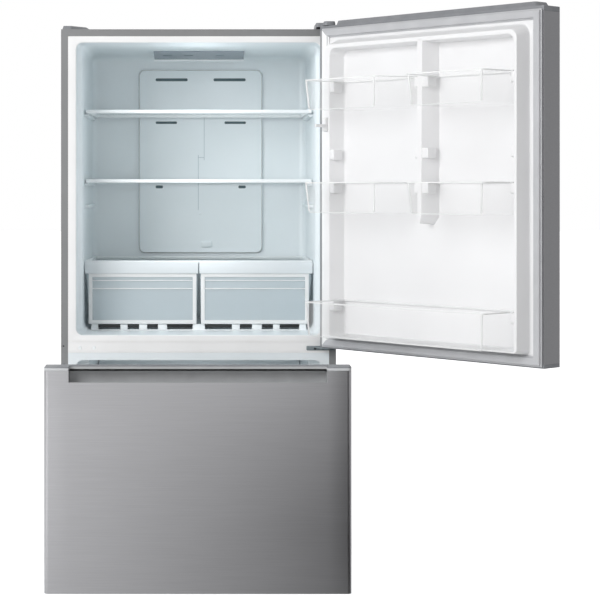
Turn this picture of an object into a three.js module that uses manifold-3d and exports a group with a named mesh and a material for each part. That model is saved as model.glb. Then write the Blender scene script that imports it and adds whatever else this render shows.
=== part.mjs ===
// Bottom-freezer refrigerator, 33-inch class, shown with its door open and its freezer drawer pulled out.
// Millimetres. +X is the user's right, +Y runs to the back, +Z is up and the floor is at z = 0.
// Every piece is worked out in the cabinet's frame: x = 0 on its centre line, y = 0 on its front plane.
import * as THREE from 'three';
import { mergeVertices } from 'three/addons/utils/BufferGeometryUtils.js';
import Module from 'manifold-3d';

const wasm = await Module();
wasm.setup();

// ---------------------------------------------------------------- driving dimensions

const fit = 0.3; // clearance between pieces that seat on each other
const sheet = 1.2; // steel sheet
const linerWall = 2.5; // vacuum-formed liner
const moulding = 2.5; // wall of moulded plastic pieces

// cabinet
const cabinetWidth = 835;
const cabinetTop = 1626;
const cabinetDepth = 670;
const cabinetBase = 34; // underside of the cabinet above the floor
const steelFlange = 21; // painted steel showing round the openings
const openingInset = 46; // cabinet side to the edge of an opening
const openingRadius = 20;

const toeTop = 62; // top of the base frame's front
const pressedRib = 3; // how far the back panel's ribs stand out
const grooveDepth = 1.2;
const grooveInset = 4;

// fresh-food compartment
const fridgeFloor = 697;
const fridgeCeiling = 1585.5;
const fridgeDepth = cabinetDepth - 110;
const mouthDepth = 58; // the wide mouth that takes the door's dikes
const mouthStep = 12.5; // how much the walls come in behind the mouth
const mouthRamp = 20;
const backRadius = 26;

// freezer compartment
const freezerCeiling = 621.5;
const freezerFloor = 110;
const freezerDepth = cabinetDepth - 110;
const freezerStep = 36.5; // the ledge on each side behind the freezer's mouth
const freezerMouth = 40;
const freezerSill = 96; // lower edge of the freezer's opening
const humpDepth = cabinetDepth - 240; // from here back the freezer floor climbs over the machine compartment
const humpTop = 292;
const freezerRadius = 24;
const railTop = 678.7; // the centre rail between the two openings
const railBottom = 644.3;

// freezer tray above the basket
const trayFloor = 452;
const trayTop = 538;
const trayFront = 50;
const trayBack = humpDepth - 10;
const trayLedge = 17;

// drawer slides and basket
const railZ = 360;
const railHalf = 23; // half the height of the fixed member
const railDepth = 12;
const railWall = 1.5;
const railGap = 0.5; // running clearance between members
const slideFront = 10;
const slideBack = freezerDepth - 80;
const shelfLedge = 16; // ledge of the moving member that carries the basket
const basketBottom = 135;
const basketTop = 430;
const basketFront = 16;
const basketBack = humpDepth - 18;
const basketStep = 13; // how much the basket widens above the ledge
const basketDraft = 12;
const panelHalf = cabinetWidth / 2 - 137.5; // raised panel on the drawer's inner side

// machine compartment
const machineFront = cabinetDepth - 178;
const machineTop = 236;
const fanX = 32; // plane of the condenser fan
const fanY = cabinetDepth - 93;
const fanZ = 128;
const condenserFan = 56; // radius
const evaporatorFan = 42;
const evaporatorFanZ = 540;
const coverY = freezerDepth - 72; // front of the evaporator's cover
const evaporatorY = [freezerDepth - 57, freezerDepth - 25];
const evaporatorHalf = cabinetWidth / 2 - 201.5;
const evaporatorHeight = 150;
const finCount = 8;
const compressorX = cabinetWidth / 2 - 167.5;
const compressorY = cabinetDepth - 88;
const compressorPost = 15;
const shaft = 2.5; // fan shafts
const fanBlades = 5;
const fanHub = 0.28; // as shares of the fan's radius, as the next three are
const bladeRoot = 0.24;
const bladeLength = 0.72;
const bladeChord = 0.5;
const bladePitch = 0.6; // radians
const bladeWall = 2.4;
const condenserX = [72.5 - cabinetWidth / 2, -60];
const condenserY = cabinetDepth - 86;
const condenserZ = 76;
const condenserPitch = 26;
const condenserPasses = 5;
const louvreBanks = [[-330, -210], [-190, -70], [-50, 70], [90, 210]];
const louvreRows = 6;
const louvrePitch = 24;

// feet and rollers
const legX = cabinetWidth / 2 - 45.5;
const legY = 46;
const legStem = 6;
const legBoss = 12;
const legBossDrop = 16;
const footRadius = 22;
const footHeight = 10;
const rollerX = cabinetWidth / 2 - 67.5;
const rollerY = cabinetDepth - 66;
const rollerRadius = 18;
const rollerWidth = 20;
const axle = 4;

// door and drawer fronts
const frontGap = 12; // steel edge of a closed front to the cabinet, filled by the gasket
const frontThickness = 76;
const frontRadius = 12;
const returnFlange = 14;
const doorBottom = 664;
const doorTop = 1630;
const doorWidth = cabinetWidth;
const drawerTop = 657;
const drawerBottom = 40;
const drawerWidth = cabinetWidth + 3;
const capThickness = 14;
const capEdge = 10; // plastic showing along the edge with the pocket handle
const capRise = 14; // raised middle of the door's top cap
const pocketHalf = 352; // pocket handle, half its length
const pocketReach = 42; // how far the steel is cut back for the hand
const pocketDrop = 25; // depth of the channel behind the grip edge
const pocketDepth = 44;
const gripEdge = 5;
const pocketBlock = 79; // height of the moulding that holds the pocket
const gasketInset = 13.5; // cabinet side to the gasket
const gasketFreeInset = 4; // the same at the door's free edge, which has no hinge to clear
const gasketWidth = 28;
const gasketThickness = 11.3;

// hinge
const hingeX = cabinetWidth / 2 - 17.5;
const hingeY = -42;
const hingePin = 5; // radius
const pinLength = 22;
const hingePlate = 3;
const hingeClear = 2; // under the plate of the top hinge
const hingeBack = 92;
const hingeCoverTop = 1645;
const coverInset = 4; // cabinet side to the hinge's cover
const coverLipFront = -2; // the cover's edge above the cabinet, clear of the turning door
const doorOpen = 131.5; // degrees, as it stands here
const drawerPull = 470; // as it stands here

// dikes of the door liner, as distances from the hinge axis towards the free edge
const dikeHeight = 51;
const dikeHinge = 30;
const dikeFree = 2 * hingeX - dikeHinge;
const dikeFloor = 698;
const dikeCeiling = 1584;
const dikeDraft = 16; // how far the outer side leans in at the top
const dikeFloorDraft = 5;
const dikeHingeDraft = 19;
const dikeFreeDraft = 4;
const crest = 12; // width of the upper dike's crest
const floorCrest = 5;
const hingeCrest = 22;
const freeCrest = 10;
const dikeSlope = 4; // draft on the inner side of a dike
const hingeSlope = 13; // the same beside the hinge
const centreSlope = 20; // and on the free side of the centre dike
const pocketCorner = 22;
const centreDike = [414.5, 433]; // sides of its crest, from the hinge axis
const centreDikeEnd = 1045;
const centreTaper = 22;

// door bins
const binRows = { top: 1370, middle: 1072, bottom: 713 };
const spareLugRow = 1171;
const binHeight = 89;
const bottomBinHeight = 101;
const binReach = 192; // from the hinge axis plane into the cabinet
const binFlare = 18; // how far a front corner next to the hinge stands out
const binBack = 34;
const binWall = 2.5;
const binSlant = 46; // how far a front corner next to the centre dike steps in from its side
const binCorner = 14;
const binLip = 3;
const lugReach = 8;
const lugHeight = 30;
const lugDepth = [45, 80]; // from the hinge axis plane
const switchArm = { z: 1328, reach: 51, block: [1311, 1352] };

// shelves
const shelfUpper = 1389; // top of each shelf
const shelfLower = 1171.5;
const spareLedge = 1092;
const shelfFront = 168;
const shelfBack = fridgeDepth - 19;
const shelfThickness = 11;
const glassThickness = 4;
const trimWidth = 16;
const glassLap = 6;
const ledgeDepth = 14;
const ledgeHeight = 10;

const ledgeFront = 184;
const ledgeBack = fridgeDepth - 28;

// air duct and ceiling light
const ductX = 5;
const ductHalf = 207;
const ductDepth = 14;
const ductTop = 1540;
const ductGap = 9; // above the crispers' cover
const lightReach = [329, 433];
const lightHalf = 146;
const lightDrop = 20;

// crispers
const coverThickness = 10;
const coverTop = 916;
const coverFront = 179;
const crisperTop = 894;
const crisperBottom = 717;
const crisperFront = 168;
const crisperBack = fridgeDepth - 40;
const crisperGap = 4; // between the two
const crisperDraft = 14;
const crisperWall = 2.5;
const bandBottom = 876;
const bandThickness = 7;

// ---------------------------------------------------------------- places worked out from them

const sideX = cabinetWidth / 2;
const openingX = sideX - openingInset;
const flangeX = sideX - steelFlange;
const wallX = openingX - mouthStep;
const freezerX = openingX - freezerStep;
const crisperHalf = wallX - 3; // outer side of each crisper to the centre line
const shelfHalf = wallX - 5;
const steelTop = cabinetTop - sheet;
const flangeTop = cabinetTop - steelFlange;
const frontInner = -frontGap; // inner face of a closed front
const frontOuter = frontInner - frontThickness;
const foamFront = linerWall + fit;

// ---------------------------------------------------------------- materials

const paint = (color, roughness, metalness, more = {}) =>
  new THREE.MeshStandardMaterial({ color, roughness, metalness, ...more });
const greySteel = paint(0x9b9b9b, 0.45, 0.6);
const stainless = paint(0xb0b1b2, 0.32, 1);
const zinc = paint(0x8a9699, 0.4, 0.9);
const whiteLiner = paint(0xf0f2f3, 0.35, 0);
const coolLiner = paint(0xc4ced2, 0.4, 0);
const foam = paint(0xe4d9a8, 0.95, 0);
const rubber = paint(0xa9a9ad, 0.8, 0);
const clear = paint(0xdfeaee, 0.08, 0, { transparent: true, opacity: 0.35 });
const darkLens = paint(0x7e8790, 0.25, 0);
const greyPlastic = paint(0x77797d, 0.5, 0);
const black = paint(0x1b1d1f, 0.55, 0);
const copper = paint(0xb8734a, 0.35, 0.9);
const aluminium = paint(0xc6cacd, 0.4, 0.9);

// ---------------------------------------------------------------- shaping helpers

// A closed triangle mesh as a solid that can be joined and cut.
function solid(geometry) {
  const bare = new THREE.BufferGeometry();
  bare.setAttribute('position', geometry.getAttribute('position'));
  bare.setIndex(geometry.index);
  const merged = mergeVertices(bare, 1e-4);
  return new wasm.Manifold(new wasm.Mesh({
    numProp: 3,
    vertProperties: new Float32Array(merged.getAttribute('position').array),
    triVerts: new Uint32Array(merged.index.array),
  }));
}

function geometryOf(body) {
  const mesh = body.getMesh();
  const geometry = new THREE.BufferGeometry();
  geometry.setAttribute('position', new THREE.BufferAttribute(new Float32Array(mesh.vertProperties), 3));
  geometry.setIndex(new THREE.BufferAttribute(new Uint32Array(mesh.triVerts), 1));
  geometry.computeVertexNormals();
  return geometry;
}

const join = (first, ...others) => others.reduce((whole, one) => whole.add(one), first);
const cut = (first, ...others) => others.reduce((whole, one) => whole.subtract(one), first);

function block([x0, x1], [y0, y1], [z0, z1]) {
  const geometry = new THREE.BoxGeometry(x1 - x0, y1 - y0, z1 - z0);
  return solid(geometry.translate((x0 + x1) / 2, (y0 + y1) / 2, (z0 + z1) / 2));
}

// Where an outline's two coordinates and the way it is pulled point, for each axis it can be pulled along.
const planes = {
  x: [new THREE.Vector3(0, 1, 0), new THREE.Vector3(0, 0, 1), new THREE.Vector3(1, 0, 0)],
  y: [new THREE.Vector3(-1, 0, 0), new THREE.Vector3(0, 0, 1), new THREE.Vector3(0, 1, 0)],
  z: [new THREE.Vector3(1, 0, 0), new THREE.Vector3(0, 1, 0), new THREE.Vector3(0, 0, 1)],
};

// Corners [a, b, radius] of an outline, with each corner that has a radius rounded.
function rounded(corners, steps = 4) {
  const points = [];
  corners.forEach(([a, b, radius = 0], i) => {
    const here = new THREE.Vector2(a, b);
    if (radius <= 0) {
      points.push(here);
      return;
    }
    const before = new THREE.Vector2(...corners.at(i - 1)).sub(here).normalize();
    const after = new THREE.Vector2(...corners[(i + 1) % corners.length]).sub(here).normalize();
    const half = Math.acos(THREE.MathUtils.clamp(before.dot(after), -1, 1)) / 2;
    const start = here.clone().addScaledVector(before, radius / Math.tan(half));
    const end = here.clone().addScaledVector(after, radius / Math.tan(half));
    const centre = here.clone().addScaledVector(before.add(after).normalize(), radius / Math.sin(half));
    const from = start.sub(centre).angle();
    let turn = end.sub(centre).angle() - from;
    if (turn > Math.PI) turn -= 2 * Math.PI;
    if (turn < -Math.PI) turn += 2 * Math.PI;
    for (let k = 0; k <= steps; k += 1) {
      const angle = from + (turn * k) / steps;
      points.push(new THREE.Vector2(Math.cos(angle), Math.sin(angle)).multiplyScalar(radius).add(centre));
    }
  });
  return points;
}

const rectangle = ([a0, a1], [b0, b1], radius = 0, steps = 4) =>
  rounded([[a0, b0, radius], [a1, b0, radius], [a1, b1, radius], [a0, b1, radius]], steps);

// A solid between two outlines of as many points each, the first at from and the second at to.
// An outline across y is given as [x, z], across x as [y, z] and across z as [x, y].
function loft(axis, first, from, second, to) {
  const [right, up, out] = planes[axis];
  const mirror = axis === 'y' ? -1 : 1;
  const rings = [first, second].map((outline) => outline.map((p) => new THREE.Vector2(mirror * p.x,
    p.y)));
  if (THREE.ShapeUtils.isClockWise(rings[0])) rings.forEach((ring) => ring.reverse());
  const count = first.length;
  const place = (p, along) => new THREE.Vector3()
    .addScaledVector(right, p.x).addScaledVector(up, p.y).addScaledVector(out, along);
  const vertices = [...rings[0].map((p) => place(p, from)), ...rings[1].map((p) => place(p, to))];
  const index = [];
  for (let i = 0; i < count; i += 1) {
    const next = (i + 1) % count;
    index.push(i, next, count + next, i, count + next, count + i);
  }
  for (const [a, b, c] of THREE.ShapeUtils.triangulateShape(rings[0], [])) index.push(a, c, b);
  for (const [a, b, c] of THREE.ShapeUtils.triangulateShape(rings[1], [])) index.push(count + a,
    count + b, count + c);
  const geometry = new THREE.BufferGeometry().setFromPoints(vertices);
  geometry.setIndex(index);
  return solid(geometry);
}

const prism = (axis, outline, from, to) => loft(axis, outline, from, outline, to);

// A rod or disc about an axis through centre = the two coordinates across it.
function rod(axis, [a, b], radius, from, to, sides = 20, radiusTo = radius) {
  const ring = (r) => Array.from({ length: sides }, (_, k) => {
    const angle = (2 * Math.PI * k) / sides;
    return new THREE.Vector2(a + r * Math.cos(angle), b + r * Math.sin(angle));
  });
  return loft(axis, ring(radius), from, ring(radiusTo), to);
}

// A turned solid: profile points [radius, height] from the axis back to the axis.
function turned(profile, sides, [x, y, z]) {
  const geometry = new THREE.LatheGeometry(profile.map((p) => new THREE.Vector2(...p)), sides);
  return solid(geometry.rotateX(Math.PI / 2).translate(x, y, z));
}

// A round tube along a curve.
function tube(points, radius, sides, steps, rounding = 0) {
  const curve = new THREE.CatmullRomCurve3(points, false, 'catmullrom', rounding);
  const section = new THREE.Shape(Array.from({ length: sides }, (_, k) => {
    const angle = (2 * Math.PI * k) / sides;
    return new THREE.Vector2(radius * Math.cos(angle), radius * Math.sin(angle));
  }));
  return solid(new THREE.ExtrudeGeometry(section, { steps, extrudePath: curve, bevelEnabled: false }));
}

// A tray or bin: an outer loft hollowed from above, floor and walls of one thickness.
function vessel(bottom, top, [z0, z1], inside, wall) {
  const outer = loft('z', bottom, z0, top, z1);
  const share = wall / (z1 - z0);
  const lowRing = inside.bottom.map((p, i) => p.clone().lerp(inside.top[i], share));
  const highRing = inside.top.map((p, i) => p.clone().addScaledVector(p.clone().sub(inside.bottom[i]),
    share));
  return cut(outer, loft('z', lowRing, z0 + wall, highRing, z1 + wall));
}

const model = new THREE.Group();

function add(name, body, material, group = model) {
  const mesh = new THREE.Mesh(geometryOf(body), material);
  mesh.name = name;
  group.add(mesh);
}

// ---------------------------------------------------------------- cabinet

// The hollow of the fresh-food compartment, grown by a wall, from a front plane back.
function fridgeRoom(grow, front) {
  const side = [
    [openingX + grow, front],
    [openingX + grow, mouthDepth + grow],
    [wallX + grow, mouthDepth + mouthRamp + grow],
    [wallX + grow, fridgeDepth + grow, backRadius + grow],
  ];
  const low = fridgeFloor - grow;
  const high = fridgeCeiling + grow;
  const back = fridgeDepth + grow;
  const plan = prism('z', rounded([...side, ...mirrored(side)]), low, high);
  const face = rectangle([-openingX - grow, openingX + grow], [low, high], openingRadius + grow);
  const section = rounded([[front, low], [back, low, backRadius], [back, high, backRadius],
    [front, high]]);
  return plan.intersect(prism('y', face, front, back)).intersect(prism('x', section, -sideX, sideX));
}

// The hollow of the freezer, with a ledge behind its mouth and the hump of the machine compartment.
function freezerRoom(grow, front) {
  const side = [
    [openingX + grow, front],
    [openingX + grow, freezerMouth + grow],
    [freezerX + grow, freezerMouth + grow],
    [freezerX + grow, freezerDepth + grow, freezerRadius + grow],
  ];
  const low = freezerSill - grow;
  const high = freezerCeiling + grow;
  const back = freezerDepth + grow;
  const plan = prism('z', rounded([...side, ...mirrored(side)]), low, high);
  const face = rectangle([-openingX - grow, openingX + grow], [low, high], openingRadius + grow);
  const section = rounded([
    [front, low],
    [freezerMouth + grow, low],
    [freezerMouth + grow, freezerFloor - grow],
    [humpDepth + grow, freezerFloor - grow, freezerRadius],
    [humpDepth + grow, humpTop - grow],
    [back, humpTop - grow, freezerRadius],
    [back, high, freezerRadius],
    [front, high],
  ]);
  return plan.intersect(prism('y', face, front, back)).intersect(prism('x', section, -sideX, sideX));
}

// The left half of a plan outline, in the order that continues its right half.
function mirrored(side) {
  return side.map(([x, y, radius]) => [-x, y, radius]).reverse();
}

// A flat ring between two rectangles given as [x range, z range], across y.
const ring = (outer, inner, y0, y1, radius = 0) => cut(
  prism('y', rectangle(...outer), y0, y1),
  prism('y', rectangle(...inner, radius), y0 - 1, y1 + 1),
);

function cabinetWrapper() {
  const arch = (inset, z) => [[-sideX + inset, z], [sideX - inset, z],
    [sideX - inset, cabinetTop - inset],
    [-sideX + inset, cabinetTop - inset]];
  const shell = cut(
    prism('y', rounded(arch(0, cabinetBase)), 0, cabinetDepth - sheet),
    prism('y', rounded(arch(sheet, cabinetBase - 1)), -1, cabinetDepth),
  );
  const face = cut(
    prism('y', rounded(arch(0, cabinetBase)), 0, sheet),
    prism('y', rounded(arch(steelFlange, cabinetBase - 1)), -1, sheet + 1),
  );
  return join(shell, face);
}

function backPanel() {
  const edge = sideX - sheet - fit;
  const high = steelTop - fit;
  const plate = block([-edge, edge], [cabinetDepth - sheet, cabinetDepth], [machineTop + fit, high]);
  const ribs = [-1, 0, 1].map((n) => {
    const at = (n * cabinetWidth) / 3.4;
    const outline = (half, inset) => rectangle([at - half, at + half],
      [machineTop + 90 + inset, high - 60 - inset], 12);
    return loft('y', outline(26, 0), cabinetDepth - sheet, outline(18, 8), cabinetDepth + pressedRib);
  });
  return join(plate, ...ribs);
}

function foamBody() {
  const edge = sideX - sheet - fit;
  return cut(
    block([-edge, edge], [foamFront, cabinetDepth - sheet - fit],
      [cabinetBase + sheet + fit, steelTop - fit]),
    fridgeRoom(linerWall + fit, foamFront - 1),
    freezerRoom(linerWall + fit, foamFront - 1),
    block([-sideX, sideX], [machineFront, cabinetDepth], [0, machineTop]),
  );
}

function fridgeLiner() {
  const flange = prism('y', rectangle([-flangeX + fit, flangeX - fit], [railTop + fit, flangeTop - fit]),
    0, linerWall);
  const shell = cut(join(flange, fridgeRoom(linerWall, 0)), fridgeRoom(0, -1));
  const ledges = [shelfUpper - shelfThickness, shelfLower - shelfThickness, spareLedge,
    coverTop - coverThickness];
  const pieces = ledges.flatMap((top) => [-1, 1].map((side) => {
    const high = top - fit;
    const outline = rectangle([ledgeFront, ledgeBack], [high - ledgeHeight, high], ledgeHeight / 2 - 0.5,
      3);
    const [a, b] = [side * (wallX - ledgeDepth), side * (wallX + 1)];
    return prism('x', outline, Math.min(a, b), Math.max(a, b));
  }));
  return join(shell, ...pieces);
}

function freezerLiner() {
  const outer = [[-flangeX + fit, flangeX - fit], [toeTop + fit, railBottom - fit]];
  const shell = cut(join(prism('y', rectangle(...outer), 0, linerWall), freezerRoom(linerWall, 0)),
    freezerRoom(0, -1));
  const ledges = [-1, 1].map((side) => {
    const [a, b] = [side * (freezerX - trayLedge), side * (freezerX + 1)];
    const outline = rectangle([trayFront, trayBack + 20],
      [trayFloor - fit - ledgeHeight, trayFloor - fit]);
    return prism('x', outline, Math.min(a, b), Math.max(a, b));
  });
  return join(shell, ...ledges);
}

function centreRail() {
  const edge = flangeX - fit;
  const groove = (z) => block([-edge - 1, edge + 1], [-1, grooveDepth],
    [z - grooveDepth / 2, z + grooveDepth / 2]);
  return cut(
    block([-edge, edge], [0, linerWall], [railBottom, railTop]),
    groove(railBottom + grooveInset),
    groove(railTop - grooveInset),
  );
}

function baseFrame() {
  const edge = flangeX - fit;
  const front = block([-edge, edge], [0, sheet], [cabinetBase, toeTop]);
  const floor = block([-edge, edge], [0, machineFront - fit], [cabinetBase, cabinetBase + sheet]);
  const boss = [-1, 1].map((side) => rod('z', [side * legX, legY], legBoss, cabinetBase - legBossDrop,
    cabinetBase + 1, 16));
  const bores = [-1, 1].map((side) => rod('z', [side * legX, legY], legStem + fit, 0, cabinetBase + 5,
    12));
  return cut(join(front, floor, ...boss), ...bores);
}

// ---------------------------------------------------------------- inside the fresh-food compartment

function ductCover() {
  const outline = (inset) => rectangle(
    [ductX - ductHalf + inset, ductX + ductHalf - inset], [coverTop + ductGap + inset, ductTop - inset],
      18);
  const back = fridgeDepth - fit;
  const tray = cut(
    loft('y', outline(4), back - ductDepth, outline(0), back),
    loft('y', outline(4 + moulding), back - ductDepth + moulding, outline(moulding), back + 1),
  );
  const slots = [
    ...[[-150.5, -43.5], [43.5, 150.5]].map((x) => [x, [1500.8, 1510.6]]),
    ...[[-150.5, -79], [80, 151.5]].map((x) => [x, [1358, 1366.4]]),
    ...[[-150.5, -126], [126.5, 151]].map((x) => [x, [1142.5, 1152]]),
  ];
  const holes = slots.map(([[a, b], z]) =>
    prism('y', rectangle([ductX + a, ductX + b], z, 3.5, 3), back - ductDepth - 1,
      back - ductDepth + moulding + 1));
  return cut(tray, ...holes);
}

// The ceiling light slopes down to the back.
function ceilingLight() {
  const [near, far] = lightReach;
  const high = fridgeCeiling - fit;
  return prism('x', rounded([[near, high - 2], [far, high - lightDrop], [far + 8, high - lightDrop, 3],
    [far + 8, high], [near, high]], 3), -lightHalf, lightHalf);
}

// A shelf's moulded rim, rebated for its glass.
function shelfRim(half, front, top, thickness) {
  const x = [-half, half];
  const y = [front, shelfBack];
  const inside = trimWidth;
  const rim = cut(
    prism('z', rectangle(x, y, 6), top - thickness, top),
    block([-half + inside, half - inside], [front + inside, shelfBack - inside], [0, cabinetTop]),
    block([-half + inside - glassLap, half - inside + glassLap],
      [front + inside - glassLap, shelfBack - inside + glassLap],
        [top - glassThickness - fit, cabinetTop]),
  );
  return rim;
}

function shelfGlass(half, front, top) {
  const edge = trimWidth - glassLap + fit;
  return block([-half + edge, half - edge], [front + edge, shelfBack - edge],
    [top - glassThickness, top]);
}

// The frame under the crispers: a plate with a runner at each side and one in the middle.
function crisperBase() {
  const half = crisperHalf - crisperDraft - 4;
  const low = fridgeFloor + fit;
  const plate = block([-half, half], [crisperFront + 8, crisperBack - 20], [low, low + 3]);
  const runner = (x, wide) => prism('y', rounded([[x - wide, low], [x + wide, low],
    [x + wide - 2, crisperBottom - fit],
    [x - wide + 2, crisperBottom - fit]]), crisperFront + 8, crisperBack - 20);
  return join(plate, runner(0, 20), runner(-half + 12, 12), runner(half - 12, 12));
}

// Seen from the front, side = -1 is the left crisper and +1 the right one.
function crisperBody(side) {
  const near = crisperGap / 2;
  const outline = (inset, wall) => {
    const x = [side * (near + wall + inset * 0.3), side * (crisperHalf - wall - inset)];
    return rectangle([Math.min(...x), Math.max(...x)],
      [crisperFront + wall + inset * 0.4, crisperBack - wall - inset], 14);
  };
  return vessel(outline(crisperDraft, 0), outline(0, 0), [crisperBottom, crisperTop],
    { bottom: outline(crisperDraft, crisperWall), top: outline(0, crisperWall) }, crisperWall);
}

// The grip band along a crisper's upper front edge.
function crisperBand(side) {
  const x = [side * (crisperGap / 2), side * crisperHalf];
  const back = crisperFront + 0.5;
  const high = coverTop - 3;
  return prism('x', rounded([[back, bandBottom], [back, high], [back - bandThickness, high, 2.5],
    [back - bandThickness, bandBottom + 6, 3], [back - bandThickness + 3.5, bandBottom]], 3),
      Math.min(...x), Math.max(...x));
}

const crisper = (side) => join(crisperBody(side), crisperBand(side));

// ---------------------------------------------------------------- hinges and covers on the cabinet

const hingeArmTop = doorTop + hingeClear + hingePlate;

function topHinge() {
  const x = [hingeX - 18, sideX - coverInset - 5];
  const step = rounded([
    [hingeY - 17, doorTop + hingeClear], [6, doorTop + hingeClear], [6, cabinetTop + fit],
      [hingeBack, cabinetTop + fit],
    [hingeBack, cabinetTop + fit + hingePlate], [6 + hingePlate, cabinetTop + fit + hingePlate],
    [6 + hingePlate, hingeArmTop], [hingeY - 17, hingeArmTop],
  ]);
  const arm = prism('x', step, ...x);
  const trim = prism('z', rounded([[x[0], hingeY - 17, 8], [x[1], hingeY - 17, 14], [x[1], hingeBack + 1],
    [x[0], hingeBack + 1]]), cabinetTop, hingeArmTop + 1);
  return join(arm.intersect(trim), rod('z', [hingeX, hingeY], hingePin, doorTop - pinLength,
    doorTop + hingeClear + 1, 16));
}

function topHingeCover() {
  const outline = (inset) => rounded([[sideX - 63 + inset, -8 + inset, 8],
    [hingeX - 25 + inset, -8 + inset, 1],
    [hingeX - 25 + inset, hingeY - 22 + inset, 10], [sideX - coverInset - inset, hingeY - 22 + inset, 12],
    [sideX - coverInset - inset, hingeBack + 14 - inset, 8],
      [sideX - 63 + inset, hingeBack + 14 - inset, 8]], 4);
  const low = cabinetTop + fit;
  const hood = loft('z', outline(0), low, outline(3), hingeCoverTop);
  const inner = loft('z', outline(1.5), low - 1, outline(4.5), hingeCoverTop - 2);
  return cut(hood, inner, block([0, sideX + 1], [-100, coverLipFront],
    [low - 1, doorTop + hingeClear + fit]));
}

function blankCover() {
  const outline = (inset) => rounded([[-sideX + inset + 2, 10 + inset, 6],
    [-sideX + 32 - inset, 10 + inset, 6],
    [-sideX + 92 - inset * 5, 70 - inset, 8], [-sideX + 92 - inset * 5, 120 - inset, 8],
      [-sideX + inset + 2, 120 - inset, 6]], 4);
  return loft('z', outline(0), cabinetTop, outline(4), cabinetTop + 11.5);
}

function middleHinge() {
  const x = [sideX - 90, sideX - 3];
  const gap = doorBottom - drawerTop;
  const arm = [drawerTop + gap * 0.25, doorBottom - gap * 0.25];
  const plate = prism('y', rectangle(x, [railBottom + 7, railTop - 14], 3), -hingePlate, 0);
  const reach = prism('z', rounded([[x[0] + 24, -hingePlate + 0.5], [hingeX - 16, hingeY - 14, 14],
    [hingeX + 14, hingeY - 14, 13],
    [x[1], -hingePlate + 0.5]]), ...arm);
  return join(plate, reach, rod('z', [hingeX, hingeY], hingePin, arm[1] - 1, doorBottom + pinLength, 16));
}

// ---------------------------------------------------------------- fronts: what the door and the drawer share

// Steel front folded round its sides, with a cut-out in the edge that has the pocket handle.
function frontSkin(half, [low, high], pocket) {
  const wall = (inset) => rounded([[-half + inset, frontInner - inset],
    [-half + inset, frontOuter + inset, frontRadius - inset],
    [half - inset, frontOuter + inset, frontRadius - inset], [half - inset, frontInner - inset]]);
  const open = half - returnFlange;
  const notch = rectangle([-pocketHalf, pocketHalf], pocket, 8);
  return cut(
    prism('z', wall(0), low, high),
    prism('z', wall(sheet), low - 1, high + 1),
    block([-open, open], [frontInner - sheet - 1, frontInner + 1], [low - 1, high + 1]),
    prism('y', notch, frontOuter - 1, frontOuter + sheet + 1),
  );
}

// The moulding along a front's edge that holds the pocket handle. up is +1 on an upper edge and -1 on a lower one.
function pocketMoulding(half, edge, up) {
  const at = (depth) => edge - up * depth;
  const span = (a, b) => [Math.min(at(a), at(b)), Math.max(at(a), at(b))];
  const skinHalf = half - sheet - fit;
  const skinFront = frontOuter + sheet + fit;
  const foot = block([-skinHalf, skinHalf], [skinFront, frontInner - linerWall - fit],
    span(capEdge - 1, pocketBlock));
  const corners = frontCorners(half, 0);
  const slab = prism('z', rounded(corners), ...span(0, capEdge));
  const grip = skinFront + gripEdge;
  const back = frontOuter + pocketDepth;
  const channel = rounded([
    [frontOuter - 1, at(-1)], [frontOuter - 1, at(pocketReach)], [grip, at(pocketReach), 1.5],
    [grip, at(pocketReach + pocketDrop), 9], [back, at(pocketReach + pocketDrop), 17], [back + 4, at(-1)],
  ], 6);
  return cut(join(trimCorners(foot, half, span(capEdge - 2, pocketBlock + 1)), slab),
    prism('x', channel, -pocketHalf, pocketHalf));
}

const frontCorners = (half, inset) => [[-half + inset, frontInner - inset],
  [-half + inset, frontOuter + inset, frontRadius - inset],
  [half - inset, frontOuter + inset, frontRadius - inset], [half - inset, frontInner - inset]];

// Keeps what fits inside the steel, whose front corners are rounded.
const trimCorners = (body, half, z) => body.intersect(prism('z', rounded(frontCorners(half, sheet + fit)),
  ...z));

// A cap closes the plain edge of a front.
function plainCap(half, [low, high]) {
  return prism('z', rounded(frontCorners(half, 0)), low, high);
}

function frontFoam(half, [low, high]) {
  return prism('z', rounded([
    [-half + sheet + fit, frontInner - linerWall - fit],
      [-half + sheet + fit, frontOuter + sheet + fit, frontRadius - sheet - fit],
    [half - sheet - fit, frontOuter + sheet + fit, frontRadius - sheet - fit],
      [half - sheet - fit, frontInner - linerWall - fit],
  ]), low, high);
}

const linerPlate = (half, [low, high]) =>
  block([-half + returnFlange + fit, half - returnFlange - fit], [frontInner - linerWall, frontInner],
    [low, high]);

// The magnetic gasket: a wide base and a narrower bulb that meets the cabinet.
function gasket([x0, x1], [z0, z1]) {
  const base = frontInner + fit;
  const step = base + gasketThickness * 0.45;
  const band = (inset, y0, y1) => ring(
    [[x0 + inset, x1 - inset], [z0 + inset, z1 - inset]],
    [[x0 + gasketWidth - inset, x1 - gasketWidth + inset],
      [z0 + gasketWidth - inset, z1 - gasketWidth + inset]],
    y0, y1);
  return join(band(0, base, step), band(4, step - 0.1, base + gasketThickness));
}

// ---------------------------------------------------------------- door

// A point of the door given from the hinge axis: along it to the free edge, and into the cabinet.
const fromHinge = (along, into, radius) => [hingeX - along, hingeY + into, radius];

const doorHalf = doorWidth / 2;
const doorSkinTop = doorTop - capThickness - fit;
const dikeCrestY = frontInner + dikeHeight;
const crestX = [hingeX - dikeFree + dikeFreeDraft, hingeX - dikeHinge - dikeHingeDraft];
const crestZ = [dikeFloor + dikeFloorDraft, dikeCeiling - dikeDraft];
const pocketX = [crestX[0] + freeCrest, crestX[1] - hingeCrest];
const pocketZ = [crestZ[0] + floorCrest, crestZ[1] - crest];

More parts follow.
